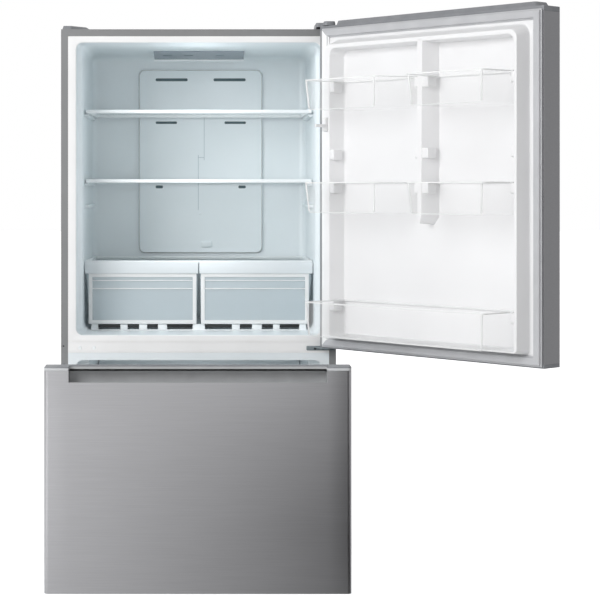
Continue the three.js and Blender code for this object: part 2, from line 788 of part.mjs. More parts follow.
function doorLiner() {
  const plate = linerPlate(doorHalf, [doorBottom + capEdge + fit, doorSkinTop]);
  const mound = loft('y',
    rectangle([hingeX - dikeFree, hingeX - dikeHinge], [dikeFloor, dikeCeiling], 30), frontInner - 0.5,
    rectangle(crestX, crestZ, 24), dikeCrestY);
  const pocket = (share) => {
    const inset = dikeSlope * share;
    const x = [pocketX[0] + inset, pocketX[1] - hingeSlope * share];
    const z = [pocketZ[0] + inset, pocketZ[1] - inset];
    return rounded([[x[0], z[0], 3], [x[1], z[0], 3],
      [x[1], z[1], pocketCorner], [x[0], z[1], pocketCorner]]);
  };
  const hollow = loft('y', pocket(1), frontInner, pocket(-1 / dikeHeight), dikeCrestY + 1);
  const spine = (share) => {
    const drop = dikeSlope * share;
    const x = [hingeX - centreDike[1] - centreSlope * share, hingeX - centreDike[0] + drop];
    return rounded([[x[0], pocketZ[1] + 2], [x[0], centreDikeEnd + centreTaper - drop, 6],
      [(x[0] + x[1]) / 2, centreDikeEnd - drop, 4],
      [x[1], centreDikeEnd + centreTaper - drop, 6], [x[1], pocketZ[1] + 2]]);
  };
  const centre = loft('y', spine(1), frontInner - 0.5, spine(0), dikeCrestY);
  const dikes = join(cut(mound, hollow), centre);
  return join(plate, dikes, ...doorLugs(), doorSwitchArm());
}

// The sides of the dikes that carry bins: where the crest of each is, how it slopes, which way it faces.
const lugSides = [
  { along: hingeX - pocketX[1], slope: hingeSlope, faces: 1, rows: ['top', 'middle', 'spare', 'bottom'] },
  { along: centreDike[0], slope: dikeSlope, faces: -1, rows: ['top', 'middle', 'spare'] },
  { along: centreDike[1], slope: centreSlope, faces: 1, rows: ['top', 'middle', 'spare'] },
  { along: hingeX - pocketX[0], slope: dikeSlope, faces: -1, rows: ['top', 'middle', 'spare', 'bottom'] },
];

// Where such a side stands at the low end of its lugs, as a distance from the hinge axis.
const lugSeat = ({ along, slope, faces }) => along
  + faces * slope * (1 - (hingeY + lugDepth[0] - frontInner) / dikeHeight);

function lugTop(row) {
  const floor = row === 'spare' ? spareLugRow : binRows[row];
  return floor + (row === 'bottom' ? bottomBinHeight : binHeight) - binLip - fit;
}

function doorLugs() {
  return lugSides.flatMap((side) => side.rows.map((row) => {
    const x = [hingeX - side.along + side.faces, hingeX - lugSeat(side) - side.faces * lugReach];
    const top = lugTop(row);
    const outline = rounded([
      [hingeY + lugDepth[0], top], [hingeY + lugDepth[0], top - lugHeight, 6],
        [hingeY + lugDepth[1], top - lugHeight + 8, 6],
      [hingeY + lugDepth[1], top, 2],
    ], 3);
    return prism('x', outline, Math.min(...x), Math.max(...x));
  }));
}

// The arm that pushes the cabinet's light switch when the door shuts.
function doorSwitchArm() {
  const x = [crestX[1] - hingeCrest + 4, crestX[1] - 4];
  const y = dikeCrestY;
  const base = prism('x', rounded([[y - 1, switchArm.block[0]], [y + 12, switchArm.block[0] + 6, 5],
    [y + 12, switchArm.block[1] - 6, 5],
    [y - 1, switchArm.block[1]]], 3), ...x);
  const arm = prism('x', rounded([[y, switchArm.z - 7], [y + switchArm.reach, switchArm.z - 3, 2],
    [y + switchArm.reach, switchArm.z + 3, 2], [y, switchArm.z + 4]], 3), x[0], x[0] + 7);
  return join(base, arm);
}

const hingeBore = (z) => rod('z', [hingeX, hingeY], hingePin + fit, ...z, 16);

function doorTopCap() {
  const raised = (inset) => rectangle(
    [-doorHalf + 30 + inset * 2.2, hingeX - 36 - inset], [frontOuter + 6 + inset, hingeY + 20 - inset],
      8);
  const cap = join(
    plainCap(doorHalf, [doorTop - capThickness, doorTop]),
    loft('z', raised(0), doorTop - 1, raised(4), doorTop + capRise),
  );
  const plug = trimCorners(block([hingeX - 60, doorHalf], [frontOuter, frontInner - linerWall - fit],
    [doorTop - pinLength - 4, doorTop - capThickness + 1]), doorHalf, [0, cabinetTop + 10]);
  return cut(join(cap, plug), hingeBore([doorTop - pinLength - 2, doorTop + 1]));
}

function doorBottomCap() {
  return cut(pocketMoulding(doorHalf, doorBottom, -1),
    hingeBore([doorBottom - 1, doorBottom + pinLength + 2]));
}

function doorFoam() {
  const plug = block([hingeX - 60 - fit, doorHalf], [frontOuter - 1, frontInner + 1],
    [doorTop - pinLength - 4 - fit, doorTop]);
  return cut(frontFoam(doorHalf, [doorBottom + pocketBlock + fit, doorSkinTop]), plug);
}

// A bin hangs by the lip at each end over the lugs of the dikes on either side of it.
function doorBin(left, right, row, height = binHeight, slantLeft = 4, slantRight = 4) {
  const low = binRows[row];
  const outline = (inset, end) => rounded([
    fromHinge(left + end + inset, binBack + inset), fromHinge(left + end + inset, 80),
    fromHinge(left + end + slantLeft + inset, binReach - inset, binCorner),
    fromHinge(right - end - slantRight - inset, binReach - inset, binCorner),
      fromHinge(right - end - inset, 80),
    fromHinge(right - end - inset, binBack + inset),
  ]);
  const clear = lugReach + 2 * fit;
  const bin = vessel(outline(7, clear), outline(0, clear), [low, low + height],
    { bottom: outline(7 + binWall, clear), top: outline(binWall, clear) }, binWall);
  const lip = (from, to) => {
    const x = [hingeX - from, hingeX - to];
    return block([Math.min(...x), Math.max(...x)], [hingeY + lugDepth[0], hingeY + lugDepth[1]],
      [low + height - binLip, low + height]);
  };
  return join(bin, lip(left + fit, left + clear + 1), lip(right - clear - 1, right - fit));
}

function buildDoor() {
  const swing = new THREE.Group();
  swing.position.set(hingeX, hingeY, 0);
  swing.rotation.z = THREE.MathUtils.degToRad(doorOpen);
  const door = new THREE.Group();
  door.position.set(-hingeX, -hingeY, 0);
  swing.add(door);
  model.add(swing);
  const skin = frontSkin(doorHalf, [doorBottom + capEdge + fit, doorSkinTop],
    [doorBottom - 20, doorBottom + pocketReach]);
  add('door_skin', skin, stainless, door);
  add('door_top_cap', doorTopCap(), greyPlastic, door);
  add('door_bottom_cap', doorBottomCap(), greyPlastic, door);
  add('door_foam', doorFoam(), foam, door);
  add('door_liner', doorLiner(), whiteLiner, door);
  add('door_gasket', gasket([-sideX + gasketFreeInset, sideX - gasketInset],
    [railTop - 11, cabinetTop - gasketFreeInset]), rubber, door);
  const side = (n) => lugSeat(lugSides[n]) + lugSides[n].faces * fit;
  add('door_bin_top_left', doorBin(side(0), side(1), 'top', binHeight, -binFlare, binSlant), clear, door);
  add('door_bin_top_right', doorBin(side(2), side(3), 'top', binHeight, 12, 2), clear, door);
  add('door_bin_middle_left', doorBin(side(0), side(1), 'middle', binHeight, -binFlare, binSlant), clear, door);
  add('door_bin_middle_right', doorBin(side(2), side(3), 'middle', binHeight, 12, 2), clear, door);
  add('door_bin_bottom', doorBin(side(0), side(3), 'bottom', bottomBinHeight, -binFlare, 2), clear, door);
}

// ---------------------------------------------------------------- freezer drawer

const drawerHalf = drawerWidth / 2;

function drawerSkin() {
  const wall = frontSkin(drawerHalf, [drawerBottom, drawerTop - capEdge - fit],
    [drawerTop - pocketReach, drawerTop + 20]);
  return join(wall, prism('z', rounded(frontCorners(drawerHalf, 0.1)), drawerBottom,
    drawerBottom + sheet));
}

function drawerLiner() {
  const plate = linerPlate(drawerHalf, [drawerBottom + sheet + fit, drawerTop - capEdge - fit]);
  const panel = (inset) => rectangle([-panelHalf + inset, panelHalf - inset],
    [basketBottom + inset, basketTop - inset], 24);
  return join(plate, loft('y', panel(0), frontInner - 0.5, panel(14), basketFront - 6));
}

// A member of a slide: a channel open towards the middle. layer 0 is fixed, 1 travels half and 2 carries the drawer.
function slideMember(side, layer, y) {
  const outer = freezerX - fit - layer * (railWall + railGap);
  const inner = outer - railDepth;
  const half = railHalf - layer * (railWall + railGap);
  const x = (a, b) => [Math.min(side * a, side * b), Math.max(side * a, side * b)];
  return cut(
    block(x(inner, outer), y, [railZ - half, railZ + half]),
    block(x(inner - 1, outer - railWall), [y[0] - 1, y[1] + 1],
      [railZ - half + railWall, railZ + half - railWall]),
  );
}

function drawerRail(side) {
  const member = slideMember(side, 2, [frontInner + fit, slideBack]);
  const outer = freezerX - fit - 2 * (railWall + railGap) - railWall;
  const ledgeTop = railZ - 3;
  const x = (a, b) => [Math.min(side * a, side * b), Math.max(side * a, side * b)];
  const ledge = block(x(outer - railDepth + railWall - shelfLedge, outer + 0.5),
    [frontInner + fit, basketBack], [ledgeTop - 4, ledgeTop]);
  const foot = block(x(outer - railDepth - shelfLedge, outer + 0.5),
    [frontInner + fit, frontInner + fit + 3], [railZ - 42, railZ + 42]);
  return join(member, ledge, foot);
}

function drawerBasket() {
  const step = railZ - 3 + fit;
  const half = freezerX - fit - 2 * (railWall + railGap) - railDepth - 6;
  const low = (inset) => rectangle([-half + basketStep + inset, half - basketStep - inset],
    [basketFront + 6 + inset, basketBack - 2 - inset], 22);
  const upper = (inset) => rectangle([-half + inset, half - inset],
    [basketFront + inset, basketBack - inset], 14);
  const outer = join(
    loft('z', low(basketDraft), basketBottom, low(0), step + 0.5),
    prism('z', upper(0), step, basketTop),
  );
  const inner = join(
    loft('z', low(basketDraft + moulding), basketBottom + moulding, low(moulding), step + moulding + 0.5),
    prism('z', upper(moulding), step + moulding, basketTop + 1),
  );
  return cut(outer, inner);
}

function freezerTray() {
  const half = freezerX - 4;
  const outline = (inset) => rectangle([-half + inset, half - inset],
    [trayFront + inset, trayBack - inset], 18);
  return vessel(outline(6), outline(0), [trayFloor, trayTop],
    { bottom: outline(6 + moulding), top: outline(moulding) }, moulding);
}

function buildDrawer() {
  const drawer = new THREE.Group();
  drawer.position.y = -drawerPull;
  model.add(drawer);
  add('drawer_skin', drawerSkin(), stainless, drawer);
  add('drawer_top_cap', pocketMoulding(drawerHalf, drawerTop, 1), greyPlastic, drawer);
  add('drawer_foam', frontFoam(drawerHalf, [drawerBottom + sheet + fit, drawerTop - pocketBlock - fit]),
    foam, drawer);
  add('drawer_liner', drawerLiner(), whiteLiner, drawer);
  add('drawer_gasket', gasket([-sideX + gasketInset, sideX - gasketInset], [toeTop + 8, railBottom + 3]),
    rubber, drawer);
  add('drawer_basket', drawerBasket(), clear, drawer);
  const middle = new THREE.Group();
  middle.position.y = -drawerPull / 2;
  model.add(middle);
  for (const [name, side] of [['left', -1], ['right', 1]]) {
    add(`slide_fixed_${name}`, slideMember(side, 0, [slideFront, slideBack]), zinc);
    add(`slide_middle_${name}`, slideMember(side, 1, [slideFront, slideBack]), zinc, middle);
    add(`drawer_rail_${name}`, drawerRail(side), zinc, drawer);
  }
}

// ---------------------------------------------------------------- cooling

// Five twisted blades on a bored hub, about an axis along x or y through centre.
function fan(axis, [a, b], radius, from, to) {
  const [right, up, out] = planes[axis];
  const middle = new THREE.Vector3().addScaledVector(right, axis === 'y' ? -a : a)
    .addScaledVector(up, b).addScaledVector(out, (from + to) / 2);
  const hub = cut(rod(axis, [a, b], radius * fanHub, from, to, 16),
    rod(axis, [a, b], shaft + fit, from - 1, to + 1, 12));
  const blades = Array.from({ length: fanBlades }, (_, k) => {
    const blade = new THREE.BoxGeometry(radius * bladeLength, radius * bladeChord, bladeWall);
    blade.applyMatrix4(new THREE.Matrix4().makeRotationX(bladePitch));
    blade.translate(radius * (bladeRoot + bladeLength / 2), 0, 0);
    blade.applyMatrix4(new THREE.Matrix4().makeRotationZ((2 * Math.PI * k) / fanBlades));
    return solid(blade.applyMatrix4(new THREE.Matrix4().makeBasis(right, up, out).setPosition(middle)));
  });
  return join(hub, ...blades);
}

function basePan() {
  const edge = sideX - sheet - fit;
  const [front, back] = [machineFront + fit, cabinetDepth - sheet - fit];
  const floor = block([-edge, edge], [front, back], [cabinetBase, cabinetBase + sheet]);
  const folds = [-1, 1].map((side) => {
    const x = [side * edge, side * (edge - sheet)];
    return block([Math.min(...x), Math.max(...x)], [front, back], [cabinetBase, cabinetBase + 22]);
  });
  const posts = compressorFeet.map(([x, y]) => rod('z', [x, y], 11, cabinetBase + 0.5,
    cabinetBase + compressorPost, 12, 8));
  const brackets = [-1, 1].map((side) => {
    const cheek = (x) => prism('x', rounded([[rollerY - 16, cabinetBase + 0.5],
      [rollerY - 9, rollerRadius - 9, 8],
      [rollerY + 9, rollerRadius - 9, 8], [rollerY + 16, cabinetBase + 0.5]], 4), x - 1.5, x + 1.5);
    const reach = rollerWidth / 2 + 3;
    const x = side * rollerX;
    return join(cheek(x - reach), cheek(x + reach),
      rod('x', [rollerY, rollerRadius], axle, x - reach - 1, x + reach + 1, 12));
  });
  const windows = [-1, 1].map((side) => {
    const half = rollerWidth / 2 + 1;
    return block([side * rollerX - half, side * rollerX + half],
      [rollerY - rollerRadius, rollerY + rollerRadius],
      [cabinetBase - 1, cabinetBase + sheet + 1]);
  });
  return join(cut(floor, ...windows), ...folds, ...posts, ...brackets);
}

const compressorFeet = [[-1, -1], [-1, 1], [1, -1],
  [1, 1]].map(([a, b]) => [compressorX + a * 84, compressorY + b * 48]);

function compressor() {
  const low = cabinetBase + compressorPost + fit;
  const plate = prism('z', rectangle([compressorX - 98, compressorX + 98],
    [compressorY - 62, compressorY + 62], 20), low, low + 3);
  const shell = turned([[0, 2], [58, 2], [70, 12], [74, 30], [74, 66], [79, 68], [79, 76], [74, 78],
    [72, 118], [56, 140], [30, 149],
    [0, 151]], 20, [compressorX, compressorY, low]);
  const pipes = [[-20, -58], [24, -62]].map(([x, y]) =>
    rod('z', [compressorX + x, compressorY + y], 4, low + 90, low + 165, 8));
  return join(plate, shell, ...pipes);
}

// A serpentine tube between two end plates.
function condenser() {
  const [x0, x1] = condenserX;
  const points = [];
  for (let pass = 0; pass < condenserPasses; pass += 1) {
    const [from, to] = pass % 2 ? [x1, x0] : [x0, x1];
    const z = condenserZ + pass * condenserPitch;
    const bend = Math.sign(to - from);
    points.push(new THREE.Vector3(from, condenserY, z),
      new THREE.Vector3((from + to) / 2, condenserY, z));
    points.push(new THREE.Vector3(to, condenserY, z));
    if (pass < condenserPasses - 1) {
      const r = condenserPitch / 2;
      points.push(...[45, 90, 135].map((a) => THREE.MathUtils.degToRad(a)).map((a) =>
        new THREE.Vector3(to + bend * r * Math.sin(a), condenserY, z + r - r * Math.cos(a))));
    }
  }
  const high = condenserZ + condenserPitch * (condenserPasses - 0.5);
  const plates = [x0 + 12, x1 - 12].map((x) =>
    block([x - 1, x + 1], [condenserY - 22, condenserY + 22], [cabinetBase + sheet + fit, high]));
  return join(tube(points, 4, 6, condenserPasses * 15, 0.5), ...plates);
}

function dripPan() {
  const [x0, x1] = condenserX;
  const outline = (inset) => rectangle([x0 + 18 + inset, x1 - 18 - inset],
    [machineFront + 18 + inset, cabinetDepth - 20 - inset], 12);
  const z = [cabinetBase + sheet + fit, cabinetBase + 26];
  return vessel(outline(6), outline(0), z, { bottom: outline(6 + 2), top: outline(2) }, 2);
}

// The ring that the condenser fan blows through, with its motor on a bar behind it.
function condenserShroud() {
  const low = cabinetBase + sheet + fit;
  const y = [machineFront + 12, cabinetDepth - 12];
  const plate = cut(
    block([fanX - 1.5, fanX + 1.5], y, [low, fanZ + condenserFan + 14]),
    rod('x', [fanY, fanZ], condenserFan + 4, fanX - 5, fanX + 5, 32),
  );
  const bar = block([fanX + 30, fanX + 34], y, [fanZ - 6, fanZ + 6]);
  const legs = [[y[0], y[0] + 4], [y[1] - 4, y[1]]].map((at) => block([fanX, fanX + 34], at,
    [fanZ - 6, fanZ + 6]));
  const motor = rod('x', [fanY, fanZ], 20, fanX + 14, fanX + 48, 20);
  const spindle = rod('x', [fanY, fanZ], shaft, fanX - 10, fanX + 15, 12);
  return join(plate, bar, ...legs, motor, spindle);
}

function rearCover() {
  const edge = sideX - sheet - fit - 1;
  const z = [cabinetBase + sheet + fit, machineTop - fit];
  const plate = block([-edge, edge], [cabinetDepth - sheet, cabinetDepth], z);
  const slots = [];
  for (let row = 0; row < louvreRows; row += 1) {
    for (const [x0, x1] of louvreBanks) {
      const at = z[0] + 30 + row * louvrePitch;
      slots.push(block([x0, x1], [cabinetDepth - 5, cabinetDepth + 1], [at, at + 8]));
    }
  }
  const gland = rod('y', [edge - 40, z[0] + 40], 11, cabinetDepth - sheet, cabinetDepth + pressedRib, 16);
  const bore = rod('y', [edge - 40, z[0] + 40], 5, cabinetDepth - 5, cabinetDepth + 10, 12);
  return cut(join(plate, gland), ...slots, bore);
}

function evaporator() {
  const low = humpTop + fit;
  const fins = Array.from({ length: finCount }, (_, k) => {
    const x = evaporatorHalf * ((2 * k) / (finCount - 1) - 1);
    return block([x - 1, x + 1], evaporatorY, [low, low + evaporatorHeight]);
  });
  const passes = [0.25, 0.75].flatMap((share) => evaporatorY.map((y, k) =>
    rod('x', [y + (k ? -8 : 8), low + share * evaporatorHeight], 4, -evaporatorHalf - 16,
      evaporatorHalf + 16, 6)));
  return join(...fins, ...passes);
}

function evaporatorCover() {
  const half = freezerX - 3;
  const z = [humpTop + fit, freezerCeiling - 3];
  const plate = prism('y', rectangle([-half, half], z, 10), coverY, coverY + moulding);
  const slots = [];
  for (let k = 0; k < 7; k += 1) {
    const x = (k - 3) * 82;
    slots.push(block([x - 30, x + 30], [coverY - 1, coverY + 5], [z[1] - 24, z[1] - 14]));
    slots.push(block([x - 30, x + 30], [coverY - 1, coverY + 5], [z[0] + 10, z[0] + 20]));
  }
  const back = coverY + 46;
  const bar = block([-60, 60], [back - 4, back], [evaporatorFanZ - 6, evaporatorFanZ + 6]);
  const legs = [[-60, -56], [56, 60]].map((x) => block(x, [coverY + 1, back],
    [evaporatorFanZ - 6, evaporatorFanZ + 6]));
  const motor = rod('y', [0, evaporatorFanZ], 14, back - 14, back + 6, 16);
  const spindle = rod('y', [0, evaporatorFanZ], shaft, coverY + 10, back - 13, 12);
  return join(cut(plate, ...slots), bar, ...legs, motor, spindle);
}

// ---------------------------------------------------------------- feet

function levellingLeg(side) {
  const centre = [side * legX, legY];
  return join(
    rod('z', centre, footRadius - 2, 0, 2.5, 20, footRadius),
    rod('z', centre, footRadius, 2.5, footHeight - 2, 20),
    rod('z', centre, footRadius, footHeight - 2, footHeight, 20, footRadius - 3),
    rod('z', centre, legStem, footHeight - 1, cabinetBase + 1, 12),
  );
}

function roller(side) {
  const x = side * rollerX;
  const centre = [rollerY, rollerRadius];
  const half = rollerWidth / 2;
  return cut(
    join(
      rod('x', centre, rollerRadius, x - half + 2, x + half - 2, 20),
      rod('x', centre, rollerRadius - 2, x - half, x - half + 2, 20, rollerRadius),
      rod('x', centre, rollerRadius, x + half - 2, x + half, 20, rollerRadius - 2),
    ),
    rod('x', centre, axle + fit, x - half - 1, x + half + 1, 12),
  );
}

// ---------------------------------------------------------------- the whole

function buildCabinet() {
  add('cabinet_shell', cabinetWrapper(), greySteel);
  add('back_panel', backPanel(), greySteel);
  add('foam_body', foamBody(), foam);
  add('fridge_liner', fridgeLiner(), coolLiner);
  add('freezer_liner', freezerLiner(), coolLiner);
  add('centre_rail', centreRail(), whiteLiner);
  add('base_frame', baseFrame(), greySteel);
  add('duct_cover', ductCover(), coolLiner);
  add('ceiling_light', ceilingLight(), darkLens);
  add('top_hinge', topHinge(), zinc);
  add('top_hinge_cover', topHingeCover(), greyPlastic);
  add('blank_cover', blankCover(), greyPlastic);
  add('middle_hinge', middleHinge(), zinc);
}

function buildInterior() {
  for (const [name, top] of [['upper', shelfUpper], ['lower', shelfLower]]) {
    add(`shelf_rim_${name}`, shelfRim(shelfHalf, shelfFront, top, shelfThickness), whiteLiner);
    add(`shelf_glass_${name}`, shelfGlass(shelfHalf, shelfFront, top), clear);
  }
  add('crisper_cover_rim', shelfRim(crisperHalf, coverFront, coverTop, coverThickness), whiteLiner);
  add('crisper_cover_glass', shelfGlass(crisperHalf, coverFront, coverTop), clear);
  add('crisper_base', crisperBase(), whiteLiner);
  for (const [name, side] of [['left', -1], ['right', 1]]) add(`crisper_${name}`, crisper(side), clear);
}

function buildFreezer() {
  add('evaporator', evaporator(), aluminium);
  add('evaporator_cover', evaporatorCover(), coolLiner);
  add('evaporator_fan', fan('y', [0, evaporatorFanZ], evaporatorFan, coverY + 12, coverY + 28), black);
  add('freezer_tray', freezerTray(), clear);
}

function buildMachine() {
  add('base_pan', basePan(), zinc);
  add('compressor', compressor(), black);
  add('condenser', condenser(), copper);
  add('drip_pan', dripPan(), black);
  add('condenser_shroud', condenserShroud(), black);
  add('condenser_fan', fan('x', [fanY, fanZ], condenserFan, fanX - 9, fanX + 9), black);
  add('rear_cover', rearCover(), greySteel);
}

function buildFeet() {
  for (const [name, side] of [['left', -1], ['right', 1]]) {
    add(`levelling_leg_${name}`, levellingLeg(side), black);
    add(`rear_roller_${name}`, roller(side), black);
  }
}

buildCabinet();
buildInterior();
buildFreezer();
buildMachine();
buildFeet();
buildDoor();
buildDrawer();

// The origin is on the floor, below the middle of everything as it stands here.
const bounds = new THREE.Box3().setFromObject(model, true);
const middle = bounds.getCenter(new THREE.Vector3());
model.position.set(-middle.x, -middle.y, 0);

export default model;
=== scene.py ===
# %% [markdown]
# # Dressing a bottom-freezer refrigerator
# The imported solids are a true-to-size refrigerator of sixty separate pieces: a steel cabinet, a door that
# stands open and a freezer drawer that is pulled out. They come in as a fixed frame. This lesson gives
# each of them the finish it has in a kitchen, and remodels the mouldings whose soft edges and thin walls
# make the object look real. Everything is in metres in the frame's own place, so a new piece lands where
# its solid is.

# %% Load the frame
import math

import bmesh
import bpy
from mathutils import Matrix, Vector


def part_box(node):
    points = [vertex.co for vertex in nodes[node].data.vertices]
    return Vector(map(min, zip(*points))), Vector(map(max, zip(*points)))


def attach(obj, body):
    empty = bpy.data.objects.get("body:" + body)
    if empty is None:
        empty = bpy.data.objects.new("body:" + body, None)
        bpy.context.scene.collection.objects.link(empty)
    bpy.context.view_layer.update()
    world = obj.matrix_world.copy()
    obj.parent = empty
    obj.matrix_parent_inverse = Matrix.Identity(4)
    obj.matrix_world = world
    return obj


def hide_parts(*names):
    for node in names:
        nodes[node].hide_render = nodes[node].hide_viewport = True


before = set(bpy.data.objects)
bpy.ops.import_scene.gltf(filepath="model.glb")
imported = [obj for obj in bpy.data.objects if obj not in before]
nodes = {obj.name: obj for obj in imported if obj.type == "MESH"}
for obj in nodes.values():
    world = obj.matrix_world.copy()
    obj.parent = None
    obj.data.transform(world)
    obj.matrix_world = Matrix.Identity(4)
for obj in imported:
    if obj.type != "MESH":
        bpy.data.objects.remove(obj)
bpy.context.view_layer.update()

# %% [markdown]
# ## Two ways to say where a thing is
# A maker measures a cabinet from its own front: x = 0 on the centre line, y = 0 on the front plane, z = 0
# on the floor, in millimetres, with the door and the drawer shut. The frame's origin is elsewhere, and the
# door and the drawer stand open. One matrix for each moving part turns a maker's millimetres into the
# frame's metres, so every piece is drawn in the simple closed position.

# %% The maker's millimetres
shell_low, shell_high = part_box("cabinet_shell")
cabinet_origin = Vector(((shell_low.x + shell_high.x) / 2, shell_low.y, 0))
hinge_place = Vector((400, -42, 0))
door_angle = 131.5
drawer_pull = 470

from_millimetres = Matrix.Translation(cabinet_origin) @ Matrix.Scale(0.001, 4)
door_turn = Matrix.Rotation(math.radians(door_angle), 4, "Z")
placing = {
    "door": from_millimetres @ Matrix.Translation(hinge_place) @ door_turn @ Matrix.Translation(-hinge_place),
    "drawer": from_millimetres @ Matrix.Translation((0, -drawer_pull, 0)),
}
print("cabinet origin", tuple(round(v, 4) for v in cabinet_origin))

# %% [markdown]
# ## The camera
# All upright edges in the picture are parallel and every front edge is level, so the camera looks straight
# along +Y without any tilt, from low and a little right of the cabinet's middle, and the picture was cut
# from a wider one. A shifted lens does the same as that cut. Scale and distance come from the cabinet's
# front, 835 mm wide, and from how much smaller its back wall appears.

# %% Place the camera
camera_distance = 5350
camera_right = 19
camera_height = 1147
focal_length_pixels = 1762
picture_side = 600
principal_point = (204.8, 187.0)

camera_data = bpy.data.cameras.new("studio_camera")
camera_data.sensor_width = 36
camera_data.lens = focal_length_pixels / picture_side * camera_data.sensor_width
camera_data.shift_x = (picture_side / 2 - principal_point[0]) / picture_side
camera_data.shift_y = -(picture_side / 2 - principal_point[1]) / picture_side
camera = bpy.data.objects.new("studio_camera", camera_data)
bpy.context.scene.collection.objects.link(camera)
camera.location = from_millimetres @ Vector((camera_right, -camera_distance, camera_height))
camera.rotation_euler = (math.pi / 2, 0, 0)
bpy.context.scene.camera = camera
bpy.context.scene.view_settings.view_transform = "Standard"
print("lens", round(camera_data.lens, 1), "mm")
print("shift", round(camera_data.shift_x, 3), round(camera_data.shift_y, 3))

# %% [markdown]
# ## Colour and one helper for nodes
# Finishes are written as the sRGB hex values that a paint chart or a picture gives. A shader works with
# linear light, so one function converts them. A second small function adds a node, sets what is named and
# links what is given, so that a material reads as a short recipe.

# %% Colour and node helpers
def linear(hex_colour):
    """The linear red, green, blue and alpha of an sRGB hex colour."""
    parts = [int(hex_colour[i:i + 2], 16) / 255 for i in (1, 3, 5)]
    return [p / 12.92 if p <= 0.04045 else ((p + 0.055) / 1.055) ** 2.4 for p in parts] + [1.0]


def add_node(tree, kind, settings=None, links=None):
    """Adds a node. settings are inputs or properties by name, links are inputs by name or number."""
    node = tree.nodes.new(kind)
    for name, value in (settings or {}).items():
        if isinstance(name, int) or name in node.inputs:
            node.inputs[name].default_value = value
        else:
            setattr(node, name, value)
    for name, output in (links or {}).items():
        tree.links.new(output, node.inputs[name])
    return node


def start_material(name, colour, roughness, surface=None):
    """A material with a Principled surface. surface holds further socket values by their names."""
    material = bpy.data.materials.new(name)
    material.use_nodes = True
    tree = material.node_tree
    tree.nodes.clear()
    settings = {"Base Color": linear(colour), "Roughness": roughness, **(surface or {})}
    shader = add_node(tree, "ShaderNodeBsdfPrincipled", settings)
    add_node(tree, "ShaderNodeOutputMaterial", links={"Surface": shader.outputs["BSDF"]})
    return material, tree, shader


print("mid grey", [round(v, 3) for v in linear("#808080")[:3]])

# %% [markdown]
# ## A white studio
# The refrigerator stands in an even white studio. The world lights it from all round at a plain level, and
# shows as pure white to the camera, in reflections and through clear plastic. A mix by the kind of ray
# keeps the two apart, so the background is white without more light on the object.

# %% World
world_level, backdrop_level = 0.5, 1.0
white = (1, 1, 1, 1)


def ray_share(tree, *kinds):
    """1 for the kinds of ray that are named, 0 for all others."""
    rays = add_node(tree, "ShaderNodeLightPath")
    share = rays.outputs[kinds[0]]
    for kind in kinds[1:]:
        share = add_node(tree, "ShaderNodeMath", {"operation": "MAXIMUM"},
                         {0: share, 1: rays.outputs[kind]}).outputs[0]
    return share


world = bpy.data.worlds.new("white_studio")
bpy.context.scene.world = world
world.use_nodes = True
sky = world.node_tree
sky.nodes.clear()
lighting = add_node(sky, "ShaderNodeBackground", {"Color": white, "Strength": world_level})
backdrop = add_node(sky, "ShaderNodeBackground", {"Color": white, "Strength": backdrop_level})
seen = ray_share(sky, "Is Camera Ray", "Is Transmission Ray", "Is Glossy Ray")
chosen = add_node(sky, "ShaderNodeMixShader",
                  links={0: seen, 1: lighting.outputs[0], 2: backdrop.outputs[0]})
add_node(sky, "ShaderNodeOutputWorld", links={"Surface": chosen.outputs[0]})
print("world", world.name)

# %% [markdown]
# ## Lamps
# One broad lamp stands to the left of the camera, so that surfaces which look to the left are brighter
# than those which look to the right. Four small cool lamps stand for the light inside: one over each
# shelf, one over the crispers and one in the freezer. Only their light shows, not the lamps.

# %% Softbox and compartment lamps
softbox_place, softbox_aim = (-2600, -3600, 2600), (0, -100, 900)
softbox_size, softbox_power = 2.2, 120
glow_lamps = (("upper_glow", 1480, 0.8), ("middle_glow", 1285, 0.36), ("lower_glow", 1040, 0.85),
              ("freezer_glow", 590, 0.9))
glow_colour, glow_depth, glow_radius = (0.92, 0.97, 1.0), 80, 0.12


def add_lamp(name, kind, place, power):
    """A lamp at a place in the cabinet's millimetres."""
    lamp_data = bpy.data.lights.new(name, kind)
    lamp_data.energy = power
    lamp = bpy.data.objects.new(name, lamp_data)
    bpy.context.scene.collection.objects.link(lamp)
    lamp.location = from_millimetres @ Vector(place)
    return lamp


softbox = add_lamp("left_softbox", "AREA", softbox_place, softbox_power)
softbox.data.size = softbox_size
toward = from_millimetres @ Vector(softbox_aim) - softbox.location
softbox.rotation_euler = toward.to_track_quat("-Z", "Y").to_euler()
for name, height, power in glow_lamps:
    glow = add_lamp(name, "POINT", (0, glow_depth, height), power)
    glow.data.color = glow_colour
    glow.data.shadow_soft_size = glow_radius
    glow.visible_camera = glow.visible_glossy = glow.visible_transmission = False

# %% [markdown]
# ## Cards for the steel
# Steel shows what stands round it. A photographer therefore puts dark cards beside the lens, and the sheet
# falls off from light grey on the left to dark grey on the right. The cards here are seen only in
# reflections: one stands to the right of the camera, one far to the right, and one lies on the floor. Two
# of them fade from light to dark across their width, so that no edge of a card is drawn in the steel.

